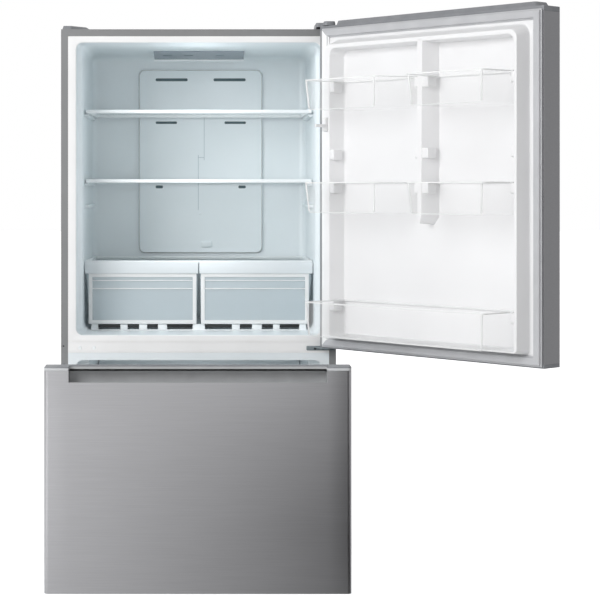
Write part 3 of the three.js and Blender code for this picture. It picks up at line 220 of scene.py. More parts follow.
# %% Reflection cards
def add_card(name, centre, size, turn, levels, fade):
    """A card for reflections only: its centre, width and height, turn about x and z, and two grey levels.

    The level goes from the first to the second between the two x limits of the fade."""
    shape = bmesh.new()
    bmesh.ops.create_grid(shape, x_segments=1, y_segments=1, size=0.5)
    bmesh.ops.scale(shape, vec=(size[0], size[1], 1), verts=shape.verts)
    about_x = Matrix.Rotation(math.radians(turn[0]), 4, "X")
    about_z = Matrix.Rotation(math.radians(turn[1]), 4, "Z")
    bmesh.ops.transform(shape, matrix=from_millimetres @ Matrix.Translation(centre) @ about_z @ about_x,
                        verts=shape.verts)
    card_mesh = bpy.data.meshes.new(name)
    shape.to_mesh(card_mesh)
    shape.free()
    material = bpy.data.materials.new(name)
    material.use_nodes = True
    tree = material.node_tree
    tree.nodes.clear()
    place = add_node(tree, "ShaderNodeTexCoord")
    split = add_node(tree, "ShaderNodeSeparateXYZ", links={0: place.outputs["Object"]})
    start, end = ((from_millimetres @ Vector((x, 0, 0))).x for x in fade)
    level = add_node(tree, "ShaderNodeMapRange",
                     {"From Min": start, "From Max": end, "To Min": levels[0], "To Max": levels[1]},
                     {"Value": split.outputs["X"]})
    shine = add_node(tree, "ShaderNodeEmission", {"Color": white}, {"Strength": level.outputs[0]})
    add_node(tree, "ShaderNodeOutputMaterial", links={"Surface": shine.outputs[0]})
    card_mesh.materials.append(material)
    card = bpy.data.objects.new(name, card_mesh)
    bpy.context.scene.collection.objects.link(card)
    card.visible_camera = card.visible_diffuse = card.visible_transmission = card.visible_shadow = False
    print(name, size, "mm, levels", levels)


add_card("card_beside_lens", (2600, -4600, 1400), (5000, 5000), (90, 0), (1, 0.02), (320, 1400))
add_card("card_far_right", (3200, -500, 1400), (7000, 5000), (90, 90), (0.5, 0.5), (0, 1))
add_card("card_on_floor", (1300, -2600, 4), (5000, 4200), (0, 0), (0.8, 0.01), (-800, 640))

# %% [markdown]
# ## The floor
# The floor is matt white paint and keeps the object's shadow. It looks a little grey in this light, so to
# the camera alone it is lifted by a glow until it runs into the white background.

# %% Floor
floor_reach, floor_glow = 40, 0.75
floor_paint, tree, shader = start_material("white_floor_paint", "#F4F4F4", 0.8)
glow = add_node(tree, "ShaderNodeEmission", {"Color": white, "Strength": floor_glow})
lifted = add_node(tree, "ShaderNodeAddShader", links={0: shader.outputs[0], 1: glow.outputs[0]})
floor_mix = add_node(tree, "ShaderNodeMixShader",
                     links={0: ray_share(tree, "Is Camera Ray"), 1: shader.outputs[0], 2: lifted.outputs[0]})
tree.links.new(floor_mix.outputs[0], tree.nodes["Material Output"].inputs["Surface"])

floor_shape = bmesh.new()
bmesh.ops.create_grid(floor_shape, x_segments=1, y_segments=1, size=floor_reach)
floor_mesh = bpy.data.meshes.new("studio_floor")
floor_shape.to_mesh(floor_mesh)
floor_shape.free()
floor_mesh.materials.append(floor_paint)
studio_floor = bpy.data.objects.new("studio_floor", floor_mesh)
bpy.context.scene.collection.objects.link(studio_floor)
print("floor", floor_paint.name)

# %% [markdown]
# ## Patterns that sit on the object
# Real finishes are never one flat value. Orange peel in paint, the grain of brushed steel and the faint
# waviness of a vacuum-formed sheet are all noise of a known size. The patterns read Object coordinates,
# which are metres here, so a scale of 1 / size gives a pattern of that size. A pattern can move the
# colour, move the roughness or raise the surface, and one helper holds these three uses.

# %% Pattern helpers
def pattern(tree, size_mm, detail=3.0, stretch=(1, 1, 1), turn=0.0):
    """Noise with spots about size_mm across, turned about the upright and then stretched."""
    place = add_node(tree, "ShaderNodeTexCoord").outputs["Object"]
    turned = add_node(tree, "ShaderNodeMapping", {"Rotation": (0, 0, turn)}, {"Vector": place})
    stretched = add_node(tree, "ShaderNodeMapping", {"Scale": stretch}, {"Vector": turned.outputs[0]})
    return add_node(tree, "ShaderNodeTexNoise", {"Scale": 1000 / size_mm, "Detail": detail},
                    {"Vector": stretched.outputs[0]}).outputs["Fac"]


def work_in(tree, shader, noise, tones=None, roughness=None, relief_mm=None, strength=0.6):
    """Lets a pattern move the colour and the roughness between two values and raise the surface."""
    noise_low, noise_high = 0.3, 0.7
    if tones:
        ramp = add_node(tree, "ShaderNodeValToRGB", links={"Fac": noise})
        for stop, position, tone in zip(ramp.color_ramp.elements, (noise_low, noise_high), tones):
            stop.position = position
            stop.color = linear(tone)
        tree.links.new(ramp.outputs[0], shader.inputs["Base Color"])
    if roughness:
        spread = add_node(tree, "ShaderNodeMapRange", {"From Min": noise_low, "From Max": noise_high,
                                                       "To Min": roughness[0], "To Max": roughness[1]},
                          {"Value": noise})
        tree.links.new(spread.outputs[0], shader.inputs["Roughness"])
    if relief_mm:
        bump = add_node(tree, "ShaderNodeBump", {"Strength": strength, "Distance": relief_mm / 1000},
                        {"Height": noise})
        tree.links.new(bump.outputs[0], shader.inputs["Normal"])


print("pattern helpers ready")

# %% [markdown]
# ## Brushed stainless steel
# The fronts are stainless sheet, ground with a belt that runs across their width. That leaves hair-fine
# scratches, a few tenths of a millimetre apart and many centimetres long, which spread reflections up and
# down. Such hairs are finer than a pixel here, so the grain is drawn 1.5 mm high. The door is ground
# before it is hung, so its grain turns with it. Its sheet is written darker than the drawer's as painted
# shade, for how its edge looks beside the lit white liner.

# %% Stainless fronts
def brushed_stainless(name, turn, dark, light):
    """Stainless sheet whose grain runs across its width, turned with the part it is on."""
    material, tree, shader = start_material(name, light, 0.3, {"Metallic": 1.0})
    grain = pattern(tree, 1.5, 2.0, (0.012, 0.2, 1), turn)
    work_in(tree, shader, grain, tones=(dark, light), relief_mm=0.008, strength=0.2)
    work_in(tree, shader, pattern(tree, 160, 3.0, (0.3, 1, 1), turn), roughness=(0.28, 0.31))
    return material


drawer_stainless = brushed_stainless("brushed_stainless_drawer", 0, "#C8C8CB", "#CECED1")
# Painted shade: the door's copy of the sheet is darker than the drawer's.
door_stainless_painted_shade = brushed_stainless("brushed_stainless_door_painted_shade", -math.radians(door_angle), "#A2A2A5", "#A7A7AA")
print(drawer_stainless.name, door_stainless_painted_shade.name)

# %% [markdown]
# ## Painted, zinc-plated and black steel
# The cabinet is pre-painted steel sheet with a satin grey coat, whose orange peel is about 2 mm across.
# Hinges and slides are zinc-plated, which looks like a dull, faintly clouded metal. The compressor's shell
# is black enamel, glossy and smooth, and the screws are dark-plated.

# %% Steel finishes
painted_steel, tree, shader = start_material("grey_painted_steel", "#838485", 0.42)
work_in(tree, shader, pattern(tree, 220), tones=("#808182", "#868788"))
work_in(tree, shader, pattern(tree, 2), relief_mm=0.02)

zinc_plate, tree, shader = start_material("zinc_plated_steel", "#8F989B", 0.36, {"Metallic": 0.9})
work_in(tree, shader, pattern(tree, 6), tones=("#838C90", "#9AA3A6"), roughness=(0.3, 0.44))

black_enamel, tree, shader = start_material("black_enamel", "#18191A", 0.28, {"Coat Weight": 0.3})
work_in(tree, shader, pattern(tree, 3), relief_mm=0.03)

black_oxide, tree, shader = start_material("dark_plated_steel", "#3A3D40", 0.35, {"Metallic": 0.9})
work_in(tree, shader, pattern(tree, 4), roughness=(0.3, 0.42))
print(painted_steel.name, zinc_plate.name, black_enamel.name, black_oxide.name)

# %% [markdown]
# ## Vacuum-formed sheet
# Liners are high-impact polystyrene sheet drawn over a mould: semi-gloss and very slightly wavy over a
# centimetre or two, with a tone and a gloss that drift over a hand's width. The plastic is plain white; the
# compartment's cool tint is its cool light painted in, and the door's slightly darker copy is painted shade.

# %% Liner sheets
def formed_sheet(name, dark, light, roughness):
    """White polystyrene sheet as it comes off its mould."""
    material, tree, shader = start_material(name, light, roughness, {"IOR": 1.59})
    work_in(tree, shader, pattern(tree, 220, 1.0), tones=(dark, light))
    work_in(tree, shader, pattern(tree, 14, 1.0), relief_mm=0.04)
    work_in(tree, shader, pattern(tree, 250, 1.0), roughness=(roughness - 0.02, roughness + 0.03))
    return material


white_liner = formed_sheet("white_polystyrene", "#F0F0F0", "#F6F6F6", 0.3)
# Painted shade: the door's sheet is a slightly darker copy of the white sheet.
door_white_painted_shade = formed_sheet("white_polystyrene_door_painted_shade", "#EEEEEF", "#F3F3F4", 0.3)
# Painted light: the cool tint is the compartment's cool light, painted into the white sheet.
liner_painted_cool_light = formed_sheet("polystyrene_painted_cool_light", "#E3EAED", "#E9EFF2", 0.34)
print(white_liner.name, door_white_painted_shade.name, liner_painted_cool_light.name)

# %% [markdown]
# ## Injection-moulded plastics
# Caps and covers are ABS with a fine spark-eroded texture, a little over half a millimetre across, which
# takes the gloss off. The drawer's pocket has a smoother copy of the grey, paler partly in its own tone and
# partly as painted light against the shade in its deep recess. Wheels and fans are black polypropylene,
# and so is a strip of painted shade in the gap under the crispers. Dark sheets of painted shade stand
# behind the air slots and in the light's vents, and the grey lines of the duct's joints are written as
# plastics too, so that they take light like what is round them. A pale colour is painted light on the
# gasket's leg that stands in the compartment's light and on the duct cover's sloped edges.

# %% Moulded plastics
def textured_plastic(name, dark, light, roughness):
    """A moulded plastic with the fine texture of its spark-eroded mould."""
    material, tree, shader = start_material(name, light, roughness, {"IOR": 1.53})
    work_in(tree, shader, pattern(tree, 40), tones=(dark, light))
    work_in(tree, shader, pattern(tree, 0.6, 1.0), relief_mm=0.03)
    return material


white_moulding = textured_plastic("white_abs", "#EEF2F4", "#F5F8F9", 0.3)
grey_abs = textured_plastic("grey_abs", "#7E8084", "#888A8E", 0.45)
# Partly painted light: the pocket's paler grey also lifts the shade in its recess.
pocket_painted_light = textured_plastic("pocket_painted_light", "#BFC1C3", "#C9CBCD", 0.35)
black_plastic = textured_plastic("black_polypropylene", "#17181A", "#1F2022", 0.5)
# Painted shade: a dark teal sheet stands for the shade in openings.
slot_painted_shade = textured_plastic("slot_painted_shade_plastic", "#4E6166", "#5C7075", 0.6)
cool_joint = textured_plastic("cool_joint", "#A3B2B8", "#ACBAC0", 0.5)
# Painted light: a near-white that lifts the gasket's lit leg and the duct cover's shaded edges.
pale_painted_light = textured_plastic("pale_plastic_painted_light", "#F0F1F1", "#F6F7F7", 0.5)
print(white_moulding.name, grey_abs.name, black_plastic.name, pale_painted_light.name)

# %% [markdown]
# ## See-through plastics and glass
# Bins, basket, tray and crispers are clear polystyrene, 2.5 mm thick. Each wall takes away a little light,
# tints it faintly blue-green and shines. A wall that lets light straight through, without bending it,
# gives that look with no noise, so the clear share is the surface's alpha. Shelves are tempered glass,
# clearer still, with a green tone. A thick moulded edge gathers light and looks nearly white, and that
# gathered light is painted on as a nearly white, nearly opaque colour. The ceiling light's lens is smoked
# and lets nothing through.

# %% Clear finishes
def clear_plastic(name, colour, alpha, roughness):
    """A clear moulding or pane. alpha is the share of light that its surface keeps."""
    material, tree, shader = start_material(name, colour, roughness, {"Alpha": alpha, "IOR": 1.57})
    work_in(tree, shader, pattern(tree, 25), roughness=(roughness, roughness + 0.05))
    work_in(tree, shader, pattern(tree, 30, 1.0), relief_mm=0.1)
    return material


clear_bin = clear_plastic("clear_polystyrene", "#FCFDFD", 0.065, 0.07)
# Painted highlight: the light a thick clear edge gathers, as a nearly white colour.
edge_painted_highlight = clear_plastic("clear_polystyrene_painted_highlight", "#FBFCFC", 0.8, 0.12)
crisper_clear = clear_plastic("crisper_polystyrene", "#DFEAEF", 0.5, 0.1)
crisper_white = clear_plastic("crisper_grip_band", "#E3E9EC", 0.95, 0.16)
shelf_glass = clear_plastic("tempered_glass", "#D5E6E4", 0.2, 0.03)
light_lens = clear_plastic("smoked_lens", "#8B949C", 1.0, 0.2)
print(clear_bin.name, crisper_clear.name, shelf_glass.name)

# %% [markdown]
# ## Gasket, foam and the cold circuit
# The gasket is soft grey PVC with a dull, even skin. The foam is rigid polyurethane, poured between steel
# and liner, pale yellow with cells of about a millimetre. The condenser is copper tube, and the
# evaporator's fins are bare aluminium with a patchy sheen.

# %% Soft and inner finishes
gasket_grey, tree, shader = start_material("grey_gasket_pvc", "#BEBFC3", 0.55)
work_in(tree, shader, pattern(tree, 60), tones=("#B9BABD", "#C1C2C5"))
work_in(tree, shader, pattern(tree, 1), relief_mm=0.03)

foam, tree, shader = start_material("polyurethane_foam", "#E4D9A8", 0.95)
work_in(tree, shader, pattern(tree, 1.2), tones=("#D6C98F", "#EADFB4"), relief_mm=0.4)

copper, tree, shader = start_material("copper_tube", "#C07A50", 0.3, {"Metallic": 1.0})
work_in(tree, shader, pattern(tree, 12), tones=("#A8663F", "#C98459"))

aluminium, tree, shader = start_material("aluminium_fins", "#C3C8CB", 0.38, {"Metallic": 1.0})
work_in(tree, shader, pattern(tree, 5), roughness=(0.32, 0.5))
print(gasket_grey.name, foam.name, copper.name, aluminium.name)

# %% [markdown]
# ## Finishes on the imported solids
# A solid whose shape is already right stays and gets its finish by a change of material.

# %% Dress the solids
finishes = {
    painted_steel: ["cabinet_shell", "back_panel", "base_frame", "rear_cover"],
    zinc_plate: ["top_hinge", "middle_hinge", "slide_fixed_left", "slide_fixed_right", "slide_middle_left",
                 "slide_middle_right", "drawer_rail_left", "drawer_rail_right", "base_pan"],
    white_liner: ["centre_rail", "door_liner", "drawer_liner"],
    white_moulding: ["shelf_rim_upper", "shelf_rim_lower", "crisper_cover_rim", "crisper_base"],
    liner_painted_cool_light: ["fridge_liner", "freezer_liner", "duct_cover", "evaporator_cover"],
    foam: ["foam_body", "door_foam", "drawer_foam"],
    gasket_grey: ["door_gasket", "drawer_gasket"],
    clear_bin: ["freezer_tray", "drawer_basket", "door_bin_top_left", "door_bin_top_right",
                "door_bin_middle_left", "door_bin_middle_right", "door_bin_bottom"],
    crisper_clear: ["crisper_left", "crisper_right"],
    shelf_glass: ["shelf_glass_upper", "shelf_glass_lower", "crisper_cover_glass"],
    light_lens: ["ceiling_light"],
    grey_abs: ["top_hinge_cover", "blank_cover", "door_top_cap", "door_bottom_cap", "drawer_top_cap"],
    black_plastic: ["drip_pan", "condenser_shroud", "condenser_fan", "evaporator_fan", "levelling_leg_left",
                    "levelling_leg_right", "rear_roller_left", "rear_roller_right"],
    black_enamel: ["compressor"],
    copper: ["condenser"],
    aluminium: ["evaporator"],
    drawer_stainless: ["drawer_skin"],
    door_stainless_painted_shade: ["door_skin"],
}
for material, names in finishes.items():
    for name in names:
        nodes[name].data.materials.clear()
        nodes[name].data.materials.append(material)
undressed = set(nodes) - {name for names in finishes.values() for name in names}
print("finishes", len(finishes), "undressed", sorted(undressed))

# %% [markdown]
# ## Shaping pieces
# Most mouldings here start as a box whose corners are then rounded, because that is how a mould or a press
# brake makes them: flat walls, round corners, thin and even walls. A few small helpers hold the operators
# that repeat. All sizes are the maker's millimetres.

# %% Shape helpers
def block(x, y, z):
    """A box between three pairs of limits."""
    shape = bmesh.new()
    bmesh.ops.create_cube(shape, size=1)
    bmesh.ops.scale(shape, vec=(x[1] - x[0], y[1] - y[0], z[1] - z[0]), verts=shape.verts)
    bmesh.ops.translate(shape, vec=(sum(x) / 2, sum(y) / 2, sum(z) / 2), verts=shape.verts)
    return shape


def edges_along(shape, axis, test=None):
    """Edges along x, y or z, given as 0, 1 or 2, whose middle passes the test."""
    found = []
    for edge in shape.edges:
        start, end = (corner.co for corner in edge.verts)
        if abs((end - start).normalized()[axis]) > 0.9 and (test is None or test((start + end) / 2)):
            found.append(edge)
    return found


def sharp_edges(shape, degrees=30, test=None):
    """Edges where two faces meet at more than an angle, and whose middle passes the test."""
    return [edge for edge in shape.edges if edge.calc_face_angle(0) > math.radians(degrees)
            and (test is None or test((edge.verts[0].co + edge.verts[1].co) / 2))]


def soften(shape, edges, radius, segments=4):
    """Rounds edges with a radius."""
    bmesh.ops.bevel(shape, geom=list(edges), offset=radius, offset_type="OFFSET", segments=segments,
                    profile=0.5, affect="EDGES", material=-1, clamp_overlap=True)
    return shape


def open_up(shape, test):
    """Takes away the faces that pass the test and keeps their edges."""
    bmesh.ops.delete(shape, geom=[face for face in shape.faces if test(face)], context="FACES_ONLY")


def cut_through(shape, place, normal):
    """Adds edges where a plane crosses the shape."""
    bmesh.ops.bisect_plane(shape, geom=shape.verts[:] + shape.edges[:] + shape.faces[:],
                           plane_co=place, plane_no=normal)


def wall_up(shape, wall):
    """Gives an open shell a wall of one thickness, on the side its faces look away from."""
    bmesh.ops.solidify(shape, geom=shape.faces[:], thickness=wall)
    return shape


def merge(shape, *others):
    """Brings other shapes into the first."""
    for other in others:
        carrier = bpy.data.meshes.new("carrier")
        other.to_mesh(carrier)
        other.free()
        shape.from_mesh(carrier)
        bpy.data.meshes.remove(carrier)
    return shape


print("shape helpers ready")

# %% [markdown]
# ## Finished pieces
# A finished shape is moved to its place, becomes an object of its own and says which moving part it rides
# on and which imported solid it stands for. Where painted light lies on only part of one moulding, a second
# material is given to those faces.

# %% Pieces and second finishes
def add_piece(name, shape, material, body, stands_for=(), crease=38):
    """Places a finished shape, makes it an object and says what it rides on and stands for."""
    bmesh.ops.transform(shape, matrix=placing.get(body, from_millimetres), verts=shape.verts)
    mesh = bpy.data.meshes.new(name)
    shape.to_mesh(mesh)
    shape.free()
    mesh.shade_smooth()
    mesh.set_sharp_from_angle(angle=math.radians(crease))
    mesh.materials.append(material)
    piece = bpy.data.objects.new(name, mesh)
    bpy.context.scene.collection.objects.link(piece)
    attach(piece, body)
    if stands_for:
        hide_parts(*stands_for)
    corners = [Vector(corner) for corner in piece.bound_box]
    size = [round(1000 * (max(c[i] for c in corners) - min(c[i] for c in corners))) for i in range(3)]
    print(name, len(mesh.polygons), "faces", size, "mm")
    return piece


def second_finish(piece, material, body, test):
    """Gives another finish to the faces whose middle, in the maker's millimetres, passes the test."""
    piece.data.materials.append(material)
    to_millimetres = placing.get(body, from_millimetres).inverted()
    changed = [face for face in piece.data.polygons if test(to_millimetres @ face.center)]
    for face in changed:
        face.material_index = 1
    print(piece.name, "has", material.name, "on", len(changed), "faces")


print("piece helpers ready")

# %% [markdown]
# ## Drawing a sheet through outlines
# A vacuum-formed liner has a flange, lips, ramps and rounded corners that a box with one open side can't
# give. So such a sheet is drawn the way its mould is turned out: through a row of rounded upright outlines,
# one for each depth at which the mould changes, and neighbours are bridged. Every outline has the same
# number of corners, so that the bridges run straight.

# %% Outlines and sheets
corner_segments = 6


def panel(x, y, z):
    """One upright face at depth y that looks to the front."""
    shape = bmesh.new()
    bmesh.ops.create_grid(shape, x_segments=1, y_segments=1, size=0.5)
    bmesh.ops.rotate(shape, matrix=Matrix.Rotation(math.pi / 2, 3, "X"), verts=shape.verts)
    bmesh.ops.scale(shape, vec=(x[1] - x[0], 1, z[1] - z[0]), verts=shape.verts)
    bmesh.ops.translate(shape, vec=(sum(x) / 2, y, sum(z) / 2), verts=shape.verts)
    return shape


def moulded(levels, look):
    """One sheet through rounded outlines, closed at the last, that looks to the front, -1, or back, 1.

    Each level has limits in x, a depth, limits in z, and the radii of its low and its high corners."""
    sheet = bmesh.new()
    rings = []
    for x, y, z, low_radius, high_radius in levels:
        level = panel(x, y, z)
        for height, radius in ((z[0], low_radius), (z[1], high_radius)):
            corners = [point for point in level.verts if abs(point.co.z - height) < 0.01]
            bmesh.ops.bevel(level, geom=corners, offset=radius, offset_type="OFFSET",
                            segments=corner_segments, profile=0.5, affect="VERTICES", material=-1,
                            clamp_overlap=True)
        if len(rings) < len(levels) - 1:
            open_up(level, lambda face: True)
        known = len(sheet.edges)
        merge(sheet, level)
        rings.append(sheet.edges[:][known:])
    for ring, following in zip(rings, rings[1:]):
        bmesh.ops.bridge_loops(sheet, edges=ring + following)
    bmesh.ops.recalc_face_normals(sheet, faces=sheet.faces)
    end = max(sheet.faces, key=lambda face: len(face.verts))
    if end.normal.y * look < 0:
        bmesh.ops.reverse_faces(sheet, faces=sheet.faces[:])
    return sheet


print("outline helpers ready")

# %% [markdown]
# ## The fresh-food liner
# One sheet of plastic is drawn into a mould to make the whole compartment. Its mouth is 12.5 mm wider on
# each side than the room behind it, so that the shut door's dikes fit in, and the two meet in a soft ramp.
# The ramp follows half a cosine in many small steps, which shades softly.

# %% Fresh-food liner
opening, floor_to_ceiling = (-371.5, 371.5), (697, 1585.5)
flange_x, flange_z = (-396.2, 396.2), (679, 1604.7)
mouth_depth, ramp_end, room_depth = 58, 78, 560
mouth_step, ramp_steps = 12.5, 6
lip_radius, mouth_radius, room_radius, back_radius = 3, 20, 30, 26
liner_wall = 2.5

levels = [(flange_x, 0, flange_z, lip_radius, lip_radius),
          (opening, 0, floor_to_ceiling, mouth_radius, mouth_radius)]
for n in range(ramp_steps + 1):
    share = n / ramp_steps
    inward = mouth_step * (1 - math.cos(math.pi * share)) / 2
    depth = mouth_depth + (ramp_end - mouth_depth) * share
    levels.append(((opening[0] + inward, opening[1] - inward), depth, floor_to_ceiling,
                   mouth_radius, mouth_radius))
room = (opening[0] + mouth_step, opening[1] - mouth_step)
levels += [(room, depth, floor_to_ceiling, room_radius, room_radius) for depth in (ramp_end + 30, room_depth)]
fridge_liner = moulded(levels, -1)
soften(fridge_liner, sharp_edges(fridge_liner, 50, lambda m: m.y > room_depth - 1), back_radius, 6)
soften(fridge_liner, sharp_edges(fridge_liner, 50, lambda m: abs(m.y) < 0.1), lip_radius, 3)
wall_up(fridge_liner, liner_wall)
print("liner sheet", len(fridge_liner.faces), "faces")

# %% [markdown]
# Ledges in the sheet's sides carry the shelves. They are rounded bars that sink into the wall.

# %% Liner ledges
ledge_tops = (1377.7, 1160.2, 1091.7, 905.7)
ledge_height, ledge_span, ledge_width = 10, (184, 532), 14
for top in ledge_tops:
    for side in (-1, 1):
        x = sorted((side * (room[1] - ledge_width), side * (room[1] + 1)))
        ledge = block(x, ledge_span, (top - ledge_height, top))
        soften(ledge, edges_along(ledge, 0), 4.5, 5)
        soften(ledge, sharp_edges(ledge, 50, lambda m: abs(m.x) < room[1] - ledge_width + 1), 2, 3)
        merge(fridge_liner, ledge)
liner_piece = add_piece("fresh_food_liner", fridge_liner, liner_painted_cool_light, "cabinet",
                        ["fridge_liner"])

# %% [markdown]
# The flange and the lip of the mouth keep the sheet's plain white, while the room behind them has the cool
# tone of its own light painted on. The same sheet therefore carries two materials, and the change lies
# behind the lip's rounding.

# %% White flange
lip_depth = 6
second_finish(liner_piece, white_liner, "cabinet", lambda m: m.y < lip_depth)

# %% [markdown]
# ## Shelves
# Each shelf is a sheet of tempered glass in a white moulded frame, whose front bar is the bright line that
# one sees from the front. The glass is already right as a solid. The frame is four bars with rounded edges.

# %% Shelf frames
def bars(*limits, radius=1.5):
    """Several rounded bars as one shape, each from its three pairs of limits."""
    whole = bmesh.new()
    for x, y, z in limits:
        bar = block(x, y, z)
        merge(whole, soften(bar, bar.edges[:], radius, 3))
    return whole


def shelf_frame(half, front, back, top, thickness, trim):
    """A frame's front, back and two side bars, trim wide."""
    low_high = (top - thickness, top)
    between = (front + trim - 2, back - trim + 2)
    return bars(((-half, half), (front, front + trim), low_high),
                ((-half, half), (back - trim, back), low_high),
                ((-half, -half + trim), between, low_high),
                ((half - trim, half), between, low_high), radius=2.2)


frame_back, frame_trim = 541, 16
for name, node, half, front, top, thickness in (
        ("upper", "shelf_rim_upper", 354, 168, 1389, 11), ("lower", "shelf_rim_lower", 354, 168, 1171.5, 11),
        ("crisper_cover", "crisper_cover_rim", 356, 179, 916, 10)):
    add_piece(f"{name}_frame", shelf_frame(half, front, frame_back, top, thickness, frame_trim),
              white_moulding, "cabinet", [node])

# %% [markdown]
# ## Air duct
# Cold air comes out of slots in a flat cover on the back wall. The cover's shape is right as it is packed,
# but shade on its sloped edges would draw a dark line that a thin moulding doesn't have, so a copy gets
# painted light there: a paler colour that lifts that shade. A imported solid is loose triangles, so a copy
# of it has them joined first.

# %% Air duct cover
duct_front, duct_slope = 545.7, (0.5, 20)
slot_field_x, slot_field_z = (-160, 170), (1000, 1520)


def copy_of(node, body):
    """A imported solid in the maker's millimetres, with its triangles joined into whole faces."""
    shape = bmesh.new()
    shape.from_mesh(nodes[node].data)
    bmesh.ops.transform(shape, matrix=placing.get(body, from_millimetres).inverted(), verts=shape.verts)
    bmesh.ops.remove_doubles(shape, verts=shape.verts, dist=0.005)
    bmesh.ops.dissolve_limit(shape, angle_limit=math.radians(1), verts=shape.verts, edges=shape.edges)
    return shape


def within(value, limits):
    """Whether a value lies between two limits."""
    return limits[0] < value < limits[1]


cover_piece = add_piece("air_duct_cover", copy_of("duct_cover", "cabinet"), liner_painted_cool_light, "cabinet",
                        ["duct_cover"])
# Painted light: the sloped edges are painted pale against their shade.
second_finish(cover_piece, pale_painted_light, "cabinet",
              lambda m: within(m.y - duct_front, duct_slope)
              and not (within(m.x, slot_field_x) and within(m.z, slot_field_z)))

# %% [markdown]
# The slots look dark because the channel behind them lies in shade, so a sheet of painted shade goes
# behind each row. The cover is two mouldings with fine joints between them, and carries a small sensor
# housing.

# %% Painted shade behind the slots, joints and sensor
slots = (((-146, -38), (1498, 1513)), ((48, 156), (1498, 1513)), ((-146, -73), (1356, 1369)),
         ((84, 157), (1356, 1369)), ((-146, -120), (1140, 1154)), ((131, 157), (1140, 1154)))
# Painted shade: dark sheets behind the slot rows.
slot_shade = bars(*[(x, (duct_front + 3, duct_front + 4), z) for x, z in slots], radius=0.3)
add_piece("duct_slot_painted_shade", slot_shade, slot_painted_shade, "cabinet")

joint_depth = (duct_front - 0.35, duct_front + 1)
joints = (((16.2, 17.6), (1237, 1395)), ((-3.4, -2), (1070, 1254)), ((-3.4, 17.6), (1245, 1246.4)))
add_piece("duct_joints", bars(*[(x, joint_depth, z) for x, z in joints], radius=0.2), cool_joint, "cabinet")

sensor_parts = (((6, 43), 6, (946, 966)), ((-1, 7), 3, (1053, 1059)))
housing = bars(*[(x, (duct_front - proud, duct_front + 1), z) for x, proud, z in sensor_parts], radius=2)
add_piece("sensor_housing", housing, liner_painted_cool_light, "cabinet")

# %% [markdown]
# ## Ceiling light
# The light is a smoked wedge under the ceiling. It is right as a solid. It gets a white trim along its
# lower edge and three short vents, drawn as strips of painted shade where their openings are.

# %% Light trim and vents
light_trim = bars(((-147, 147), (431, 442), (1560.5, 1565.8)), radius=2)
add_piece("ceiling_light_trim", light_trim, white_moulding, "cabinet")
vents_x, vents_y, vents_z = ((-117, -88), (-49, -19), (55, 81)), (378, 384), (1573.4, 1576)
# Painted shade: dark strips where the vents open.
vents = bars(*[(x, vents_y, vents_z) for x in vents_x], radius=0.4)
add_piece("ceiling_light_vents", vents, slot_painted_shade, "cabinet")

# %% [markdown]
# ## Crispers
# A crisper is a clear tub that narrows to its floor so that it leaves the mould, with a white grip band
# along its upper front edge and a frosted frame round its clear window, on which the light it gathers is
# painted as a nearly white colour. Two ribs stiffen the front. The tub is a box without a lid, drafted,
# rounded and then given its wall. The frame is a band pulled back from one face.

# %% Tub and band helpers
clear_wall = 2.5


def tub(x, y, z, draft, corner, base):
    """An open tub. draft is how far the bottom stands in at the left, right, front and back."""
    shape = block(x, y, z)
    open_up(shape, lambda face: face.normal.z > 0.9)
    middle_x, middle_y = sum(x) / 2, sum(y) / 2
    for low in [point for point in shape.verts if point.co.z < z[0] + 0.1]:
        low.co.x += draft[0] if low.co.x < middle_x else -draft[1]
        low.co.y += draft[2] if low.co.y < middle_y else -draft[3]
    soften(shape, edges_along(shape, 2), corner, 6)
    soften(shape, sharp_edges(shape, 40, lambda m: m.z < z[0] + 0.1), base, 4)
    return wall_up(shape, clear_wall)


def hoop(x, z, width, y):
    """A closed rectangular band across y, from its outer limits and its width."""
    shape = panel(x, y[0], z)
    band = bmesh.ops.inset_region(shape, faces=shape.faces[:], thickness=width, use_even_offset=True,
                                  use_boundary=True)["faces"]
    bmesh.ops.delete(shape, geom=[face for face in shape.faces if face not in band], context="FACES")
    grown = bmesh.ops.extrude_face_region(shape, geom=shape.faces[:])["geom"]
    moved = [part for part in grown if isinstance(part, bmesh.types.BMVert)]
    bmesh.ops.translate(shape, vec=(0, y[1] - y[0], 0), verts=moved)
    bmesh.ops.recalc_face_normals(shape, faces=shape.faces)
    return shape


print("tub helpers ready")

# %% [markdown]
# The two crispers mirror each other: the outer side leans in more than the inner one. Sizes are therefore
# measured outwards from the centre line, and a small helper gives them for either side.

# %% Crispers
crisper_low, crisper_high, band_low, band_high = 717, 894, 876, 913
crisper_inner, crisper_outer, crisper_depth = 2, 356, (168, 520)
outer_draft, inner_draft, front_draft, back_draft = 14, 4.2, 5.6, 14
window_inner, window_outer, window_frame = 7, 345, 12
rib_inner, rib_outer = 20, 333


def on_side(side, a, b):
    """Limits in x from two distances out from the centre line, on the left, -1, or the right, 1."""
    return tuple(sorted((side * a, side * b)))


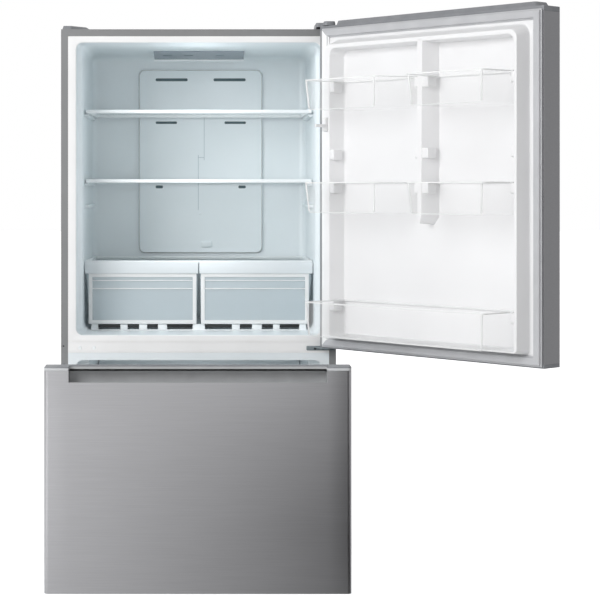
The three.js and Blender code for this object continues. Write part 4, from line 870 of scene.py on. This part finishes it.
for side, name in ((-1, "left"), (1, "right")):
    body = f"crisper_{name}"
    across = on_side(side, crisper_inner, crisper_outer)
    sides = (outer_draft, inner_draft) if side < 0 else (inner_draft, outer_draft)
    walls = tub(across, crisper_depth, (crisper_low, crisper_high), (*sides, front_draft, back_draft), 14, 7)
    add_piece(f"{body}_tub", walls, crisper_clear, body, [body])

    band = block(across, (161.5, 168.4), (band_low, band_high))
    soften(band, edges_along(band, 0), 2.6, 4)
    soften(band, edges_along(band, 2), 2, 3)
    add_piece(f"{body}_band", band, crisper_white, body)

    window = hoop(on_side(side, window_inner, window_outer), (crisper_low + 1, band_low + 1), window_frame,
                  (165.6, 169))
    for low in [point for point in window.verts if point.co.z < (crisper_low + band_low) / 2]:
        low.co.y += front_draft
    soften(window, sharp_edges(window, 50), 1.2, 3)
    rib = on_side(side, rib_inner, rib_outer)
    ribs = bars((rib, (166.4, 169.6), (852.5, 855.5)), (rib, (166.9, 170.4), (827, 830.5)), radius=1.2)
    add_piece(f"{body}_frame", merge(window, ribs), edge_painted_highlight, body)

    tab = bars((on_side(side, 163, 187), (171.5, 176), (crisper_low + 0.4, crisper_low + 9)), radius=2)
    add_piece(f"{body}_stop", tab, crisper_white, body)

# %% [markdown]
# Under the crispers the base stands on short feet, and between them a black strip of painted shade
# stands for the shade in the gap to the floor.

# %% Painted shade under the crispers
base_gap_front, gap_shade_z, foot_z = 180, (705.5, 716.2), (700.4, 716.5)
# Painted shade: a black strip where the gap under the crispers is in shade.
crisper_gap_shade = bars(*[(on_side(side, 20, 338), (base_gap_front, base_gap_front + 2), gap_shade_z) for side in (-1, 1)],
            radius=0.5)
add_piece("crisper_gap_painted_shade", crisper_gap_shade, black_plastic, "cabinet")
feet_at = ((-246, -223), (-187, -162), (-128, -99), (104, 129), (167, 198), (233, 254))
feet = bars(*[(x, (base_gap_front - 3, base_gap_front + 3), foot_z) for x in feet_at], radius=1.5)
add_piece("crisper_base_feet", feet, white_moulding, "cabinet")

# %% [markdown]
# ## The door's liner
# The inner side of the door is one vacuum-formed sheet. Its raised walls, called dikes, stand 51 mm into
# the cabinet when the door is shut. They carry the bins, keep the cold in and stiffen the door, and their
# sides lean so that the sheet comes off its mould. As with the compartment, the sheet is drawn through
# rounded outlines: from its flange up the outer side, over the crest, down the inner side and across the
# floor. The crest's corners need outlines of their own, because a large rounding of a finished narrow
# crest would cross itself.

# %% Door liner
door_plane, crest_plane = -12, 39
door_levels = [((-403.2, 403.2), door_plane, (674.3, 1615.7), 3, 3),
               ((-370, 370), door_plane, (698, 1584), 14, 30),
               ((-366, 351), crest_plane, (703, 1568), 12, 24),
               ((-356, 329), crest_plane, (708, 1556), 6, 22),
               ((-352, 316), door_plane, (712, 1552), 6, 22)]
crest_radius, foot_radius, door_sheet_wall = 2.3, 4, 2.4
door_liner = moulded(door_levels, 1)
soften(door_liner, sharp_edges(door_liner, 50, lambda m: m.y > crest_plane - 1), crest_radius, 4)
soften(door_liner, sharp_edges(door_liner, 50, lambda m: m.y < door_plane + 1), foot_radius, 4)
wall_up(door_liner, door_sheet_wall)
print("door sheet", len(door_liner.faces), "faces")

# %% [markdown]
# A shorter dike runs down the middle and ends in a wedge. It is a bar that grows out of the upper dike. A
# cut near its end gives the wedge its shoulder, and the corners are then moved: the foot is wider than the
# crest, and the last corners close in to a narrow end.

# %% Centre dike
crest_low, crest_high, foot_low, foot_high = -33, -14.5, -53, -10.5
centre_end, centre_top, taper, foot_drop, tip_half = 1045, 1562, 22, 4, 2
centre_dike = block((crest_low, crest_high), (door_plane - 0.5, crest_plane), (centre_end, centre_top))
cut_through(centre_dike, (0, 0, centre_end + taper), (0, 0, 1))
for point in centre_dike.verts:
    at_foot = point.co.y < 0
    low_side = point.co.x < -20
    if at_foot:
        point.co.x = foot_low if low_side else foot_high
    if point.co.z < centre_end + 1:
        middle = (foot_low + foot_high) / 2 if at_foot else (crest_low + crest_high) / 2
        point.co.x = middle + (-tip_half if low_side else tip_half)
    if at_foot and point.co.z < centre_top - 1:
        point.co.z -= foot_drop
soften(centre_dike, sharp_edges(centre_dike, 25, lambda m: m.z < centre_top - 2 and m.y > door_plane), 3.5, 4)
merge(door_liner, centre_dike)
print("centre dike from", centre_top, "to", centre_end, "mm")

# %% [markdown]
# Lugs on the dikes' sides carry the bins, one row of them spare, and a small arm on the hinge side presses
# the cabinet's light switch when the door shuts. Both are rounded blocks, because a mould gives them no
# finer form.

# %% Lugs and switch arm
bin_rows = {"top": (1370, 89), "middle": (1072, 89), "spare": (1171, 89), "bottom": (713, 101)}
inner_rows = ("top", "middle", "spare")
outer_rows = inner_rows + ("bottom",)
lug_sides = (((311.8, 328), outer_rows), ((-15.5, -3.7), inner_rows),
             ((-55.1, -32), inner_rows), ((-357, -345.2), outer_rows))
lug_height, lug_depth, lug_drop = 30, (3, 38), 3.3
for x, rows in lug_sides:
    for row in rows:
        top = sum(bin_rows[row]) - lug_drop
        lug = block(x, lug_depth, (top - lug_height, top))
        soften(lug, edges_along(lug, 0, lambda m: m.z < top - 1), 6, 4)
        soften(lug, sharp_edges(lug, 50), 1, 3)
        merge(door_liner, lug)

arm_low_x, arm_base_x, arm_tip_x, arm_base_z, arm_tip_z = 333, 347, 340, (1311, 1352), (1323, 1332)
arm_base_reach, arm_reach = 12, 51
arm_base = block((arm_low_x, arm_base_x), (crest_plane - 1, crest_plane + arm_base_reach), arm_base_z)
soften(arm_base, edges_along(arm_base, 0, lambda m: m.y > crest_plane + 5), 6, 4)
soften(arm_base, sharp_edges(arm_base, 50), 1.5, 3)
arm = block((arm_low_x, arm_tip_x), (crest_plane, crest_plane + arm_reach), arm_tip_z)
soften(arm, arm.edges[:], 2, 3)
merge(door_liner, arm_base, arm)
add_piece("door_inner_liner", door_liner, door_white_painted_shade, "door", ["door_liner"])

# %% [markdown]
# ## Door bins
# A bin hangs between two dikes. Its ends run straight back beside the dikes and slant in towards its front
# wall, whose corners are rounded. The wall is clear; the light that its rolled rim and its moulded corners
# gather is painted on them as a nearly white colour. The rim is the same outline again, only a few
# millimetres high, with a thicker wall. Behind a bin the wall would lie flat against the liner, where it
# can't be told from it, so only its rim is shown.

# %% Bin outline
bin_back, bin_kink, bin_front = -8, 38, 149
bin_draft, bin_corner, bin_base = 7, 14, 6


def bin_shell(x, z, slant_low, slant_high, draft, closed):
    """A bin's walls with round front corners, closed by a floor and open at the back, or as a ring.

    The slants are at its low and its high x end."""
    shell = block(x, (bin_back, bin_front), z)
    open_up(shell, lambda face: face.normal.z > 0.9 or (face.normal.y if closed else face.normal.z) < -0.9)
    cut_through(shell, (0, bin_kink, 0), (0, 1, 0))
    middle = sum(x) / 2
    for point in shell.verts:
        high_end = point.co.x > middle
        if point.co.y > bin_kink + 1:
            point.co.x += -slant_high if high_end else slant_low
        if point.co.z < z[0] + 0.1 and closed:
            point.co.x += -draft if high_end else draft
            if point.co.y > bin_kink + 1 or point.co.y < bin_back + 1:
                point.co.y += draft if point.co.y < 0 else -draft
    front_corners = edges_along(shell, 2, lambda m: m.y > bin_front - 9)
    return soften(shell, front_corners, bin_corner, 6)


print("bin rows", bin_rows)

# %% [markdown]
# Each bin is the clear shell, its rim with the two hanging lips, a bar of painted highlight in each front
# corner and one along the foot of the front wall. The corner bars lean as much as the wall does.

# %% Bins
lug_gap, rim_height, rim_wall = 8.6, 3.5, 4
bar_in, bar_half = 8.2, 2.6
bar_y, foot_y = (bin_front - 7, bin_front - 3.2), (bin_front - 12, bin_front - 9.5)


def door_bin(name, x, row, slant_low, slant_high):
    """One bin with its rim, corner edges and hanging lips."""
    low, height = bin_rows[row]
    high = low + height
    ends = (x[0] + lug_gap, x[1] - lug_gap)
    shell = bin_shell(ends, (low, high - rim_height), slant_low, slant_high, bin_draft, True)
    soften(shell, [e for e in sharp_edges(shell, 50) if max(v.co.z for v in e.verts) < low + 1], bin_base, 4)
    add_piece(name, wall_up(shell, clear_wall), clear_bin, "door", [name])

    rim = wall_up(bin_shell(ends, (high - rim_height, high), slant_low, slant_high, 0, False), rim_wall)
    lips = bars(((x[0] + 0.3, ends[0] + 1), lug_depth, (high - 3, high)),
                ((ends[1] - 1, x[1] - 0.3), lug_depth, (high - 3, high)), radius=0.8)
    front = (ends[0] + slant_low, ends[1] - slant_high)
    corner_bars = bars(*[((at - bar_half, at + bar_half), bar_y, (low + 5, high - 1))
                         for at in (front[0] + bar_in, front[1] - bar_in)], radius=1.5)
    for point in corner_bars.verts:
        lean = bin_draft * (high - point.co.z) / height
        point.co.y -= lean
        point.co.x += lean if point.co.x < sum(ends) / 2 else -lean
    foot = bars(((front[0] + bin_corner, front[1] - bin_corner), foot_y, (low + 0.8, low + 3)), radius=0.9)
    add_piece(f"{name}_rim", merge(rim, lips, corner_bars, foot), edge_painted_highlight, "door")


hinge_side, centre_right, centre_left, free_side = 319.5, -11.4, -47.4, -352.9
for row in ("top", "middle"):
    door_bin(f"door_bin_{row}_left", (centre_right, hinge_side), row, 46, -18)
    door_bin(f"door_bin_{row}_right", (free_side, centre_left), row, 2, 12)
door_bin("door_bin_bottom", (free_side, hinge_side), "bottom", 2, -18)

# %% [markdown]
# ## Steel fronts
# A front is one stainless sheet, folded round both sides with a 12 mm bend and turned in at the back to
# hold the liner. Along one edge it is cut back for the hand, where a moulded pocket shows. The sheet is a
# box without top, bottom and back, bent, cut and then given the 1.2 mm of the sheet.

# %% Folded fronts
front_outer, front_inner, bend, return_fold, steel = -88, -12, 12, 14, 1.2
pocket_half, pocket_reach = 352, 42


def folded_front(half, z, notch, floor_kept):
    """A folded sheet, with a notch between two heights cut out of its face."""
    sheet = block((-half, half), (front_outer, front_inner), z)
    open_up(sheet, lambda face: face.normal.y > 0.9 or face.normal.z > 0.9
            or (face.normal.z < -0.9 and not floor_kept))
    soften(sheet, edges_along(sheet, 2, lambda m: m.y < front_outer + 1), bend, 8)
    back_edges = edges_along(sheet, 2, lambda m: m.y > front_inner - 1)
    folds = bmesh.ops.extrude_edge_only(sheet, edges=back_edges)["geom"]
    for point in [part for part in folds if isinstance(part, bmesh.types.BMVert)]:
        point.co.x -= math.copysign(return_fold, point.co.x)
    for x in (pocket_half, -pocket_half):
        cut_through(sheet, (x, 0, 0), (1, 0, 0))
    for height in notch:
        cut_through(sheet, (0, 0, height), (0, 0, 1))

    def in_notch(face):
        middle = face.calc_center_median()
        return middle.y < front_outer + 0.5 and abs(middle.x) < pocket_half and within(middle.z, notch)
    open_up(sheet, in_notch)
    return wall_up(sheet, steel)


door_low, door_high, drawer_low, drawer_high = 674.3, 1615.7, 40, 646.7
door_sheet = folded_front(417.5, (door_low, door_high), (660, 664 + pocket_reach), False)
add_piece("door_front", door_sheet, door_stainless_painted_shade, "door", ["door_skin"], crease=30)
drawer_sheet = folded_front(419, (drawer_low, drawer_high), (657 - pocket_reach, 660), True)
add_piece("drawer_front", drawer_sheet, drawer_stainless, "drawer", ["drawer_skin"], crease=30)

# %% [markdown]
# ## Caps with softened edges
# The caps that close the fronts, the hinge covers and the hinges are packed in their true shapes. Their
# edges are knife-sharp, though, and a moulded or stamped edge always catches a thin line of light. Each
# gets a copy whose triangles are joined into whole faces and whose edges are rounded by less than a
# millimetre. The drawer's cap is also cut level at the pocket's mouth, where its painted light begins.

# %% Softened copies
pocket_top = 654
plastic, zinc = (grey_abs, "grey_plastic"), (zinc_plate, "zinc_steel")
soft_copies = {}
for node, body, (material, slot), radius in (
        ("door_top_cap", "door", plastic, 0.9), ("door_bottom_cap", "door", plastic, 0.8),
        ("drawer_top_cap", "drawer", plastic, 0.8), ("top_hinge_cover", "cabinet", plastic, 0.8),
        ("blank_cover", "cabinet", plastic, 0.8), ("top_hinge", "cabinet", zinc, 0.5),
        ("middle_hinge", "cabinet", zinc, 0.4)):
    shape = copy_of(node, body)
    soften(shape, sharp_edges(shape, 35), radius, 3)
    if node == "drawer_top_cap":
        cut_through(shape, (0, 0, pocket_top), (0, 0, 1))
    soft_copies[node] = add_piece(f"{node}_soft", shape, material, body, [node], crease=45)

# %% [markdown]
# The pocket of the drawer's cap is the same moulding as the strip on top. Its lining is smoother, and it is
# paler partly in its own tone and partly as painted light against the shade deep in the recess.

# %% Painted light in the pocket
second_finish(soft_copies["drawer_top_cap"], pocket_painted_light, "drawer", lambda m: m.z < pocket_top)

# %% [markdown]
# ## Magnetic gaskets
# A gasket is a soft extrusion welded into a frame: a flat base held in the liner's edge and a hollow bulb
# with a magnet inside, which meets the cabinet. Two bands with rounded edges give its stepped profile. The
# door gasket's leg beside the hinge stands in the compartment's light, which is painted on it as a nearly
# white colour.

# %% Gaskets
base_width, bulb_width, bulb_step, hinge_leg = 28, 20, 4, 374
base_depth, bulb_depth = (-11.7, -6.8), (-7.4, -0.5)
for name, body, x, z in (("door_gasket", "door", (-413.5, 404), (667.7, 1622)),
                         ("drawer_gasket", "drawer", (-404, 404), (70, 647.3))):
    base = hoop(x, z, base_width, base_depth)
    soften(base, sharp_edges(base, 50), 1.2, 3)
    bulb_x, bulb_z = ((low + bulb_step, high - bulb_step) for low, high in (x, z))
    bulb = hoop(bulb_x, bulb_z, bulb_width, bulb_depth)
    soften(bulb, sharp_edges(bulb, 50), 2.6, 4)
    profile = add_piece(f"{name}_profile", merge(base, bulb), gasket_grey, body, [name])
    if body == "door":
        # Painted light: the hinge-side leg is painted nearly white for the compartment's light on it.
        second_finish(profile, pale_painted_light, body, lambda m: m.x > hinge_leg)

# %% [markdown]
# ## Basket and tray
# The freezer's wide basket hangs on the slides by a step in its sides, and a shallow tray runs above it.
# Both are clear mouldings like the crispers: drafted, round-cornered and with a rolled rim. The rims and
# the step are bands round a rectangle.

# %% Freezer basket and tray
def collar(x, y, z, corner, wall):
    """An upright band round a rectangle, open above and below."""
    band = block(x, y, z)
    open_up(band, lambda face: abs(face.normal.z) > 0.9)
    soften(band, edges_along(band, 2), corner, 6)
    return wall_up(band, wall)


edge_height, edge_wall, rim_proud = 5, 4, 0.8
basket_x, basket_y, basket_step, basket_top = (-312.7, 312.7), (16, 412), 357.3, 430
lower = tub((-299.7, 299.7), (22, 410), (135, basket_step + 2), (12, 12, 12, 12), 22, 8)
upper = collar(basket_x, basket_y, (basket_step, basket_top), 14, clear_wall)
step = collar(basket_x, basket_y, (basket_step, basket_step + clear_wall), 14, 16)
add_piece("basket_walls", merge(lower, upper, step), clear_bin, "drawer", ["drawer_basket"])
basket_rim = collar((basket_x[0] - rim_proud, basket_x[1] + rim_proud),
                    (basket_y[0] - rim_proud, basket_y[1] + rim_proud),
                    (basket_top - edge_height, basket_top), 14.8, edge_wall)
add_piece("basket_rim", basket_rim, edge_painted_highlight, "drawer")

tray_half, tray_y, tray_low, tray_top, tray_proud = 331, (50, 420), 452, 538, 0.6
tray = tub((-tray_half, tray_half), tray_y, (tray_low, tray_top), (6, 6, 6, 6), 18, 6)
add_piece("tray_walls", tray, clear_bin, "freezer_tray", ["freezer_tray"])
tray_rim = collar((-tray_half - tray_proud, tray_half + tray_proud),
                  (tray_y[0] - tray_proud, tray_y[1] + tray_proud),
                  (tray_top - edge_height, tray_top), 18.6, edge_wall)
add_piece("tray_rim", tray_rim, edge_painted_highlight, "freezer_tray")

# %% [markdown]
# ## Small fasteners
# Screw heads hold the middle hinge and the shell's edge, and two plugs close the holes for hanging the
# door on the other side. A low cone with a softened edge is enough at this size.

# %% Screws and plugs
def buttons(places, radius, height):
    """Round flat-headed buttons that look to the front, each at x, y, z."""
    whole = bmesh.new()
    for place in places:
        head = bmesh.new()
        bmesh.ops.create_cone(head, cap_ends=True, segments=20, radius1=radius, radius2=radius * 0.78,
                              depth=height)
        bmesh.ops.rotate(head, matrix=Matrix.Rotation(math.pi / 2, 3, "X"), verts=head.verts)
        bmesh.ops.translate(head, vec=Vector(place) + Vector((0, -height / 2, 0)), verts=head.verts)
        soften(head, sharp_edges(head, 50), 0.3, 2)
        merge(whole, head)
    return whole


hinge_screws = buttons([(354, -3, 657), (378, -3, 657), (402, -3, 657)], 4.2, 1.6)
add_piece("hinge_screws", hinge_screws, black_oxide, "cabinet")
rail_plugs = buttons([(-360, 0.2, 659), (-317, 0.2, 659)], 5.5, 1.2)
add_piece("rail_plugs", rail_plugs, white_moulding, "cabinet")
flange_screws = buttons([(-410, 0.2, 664), (-408, 0.2, 608)], 2.6, 0.8)
add_piece("flange_screws", flange_screws, black_oxide, "cabinet")
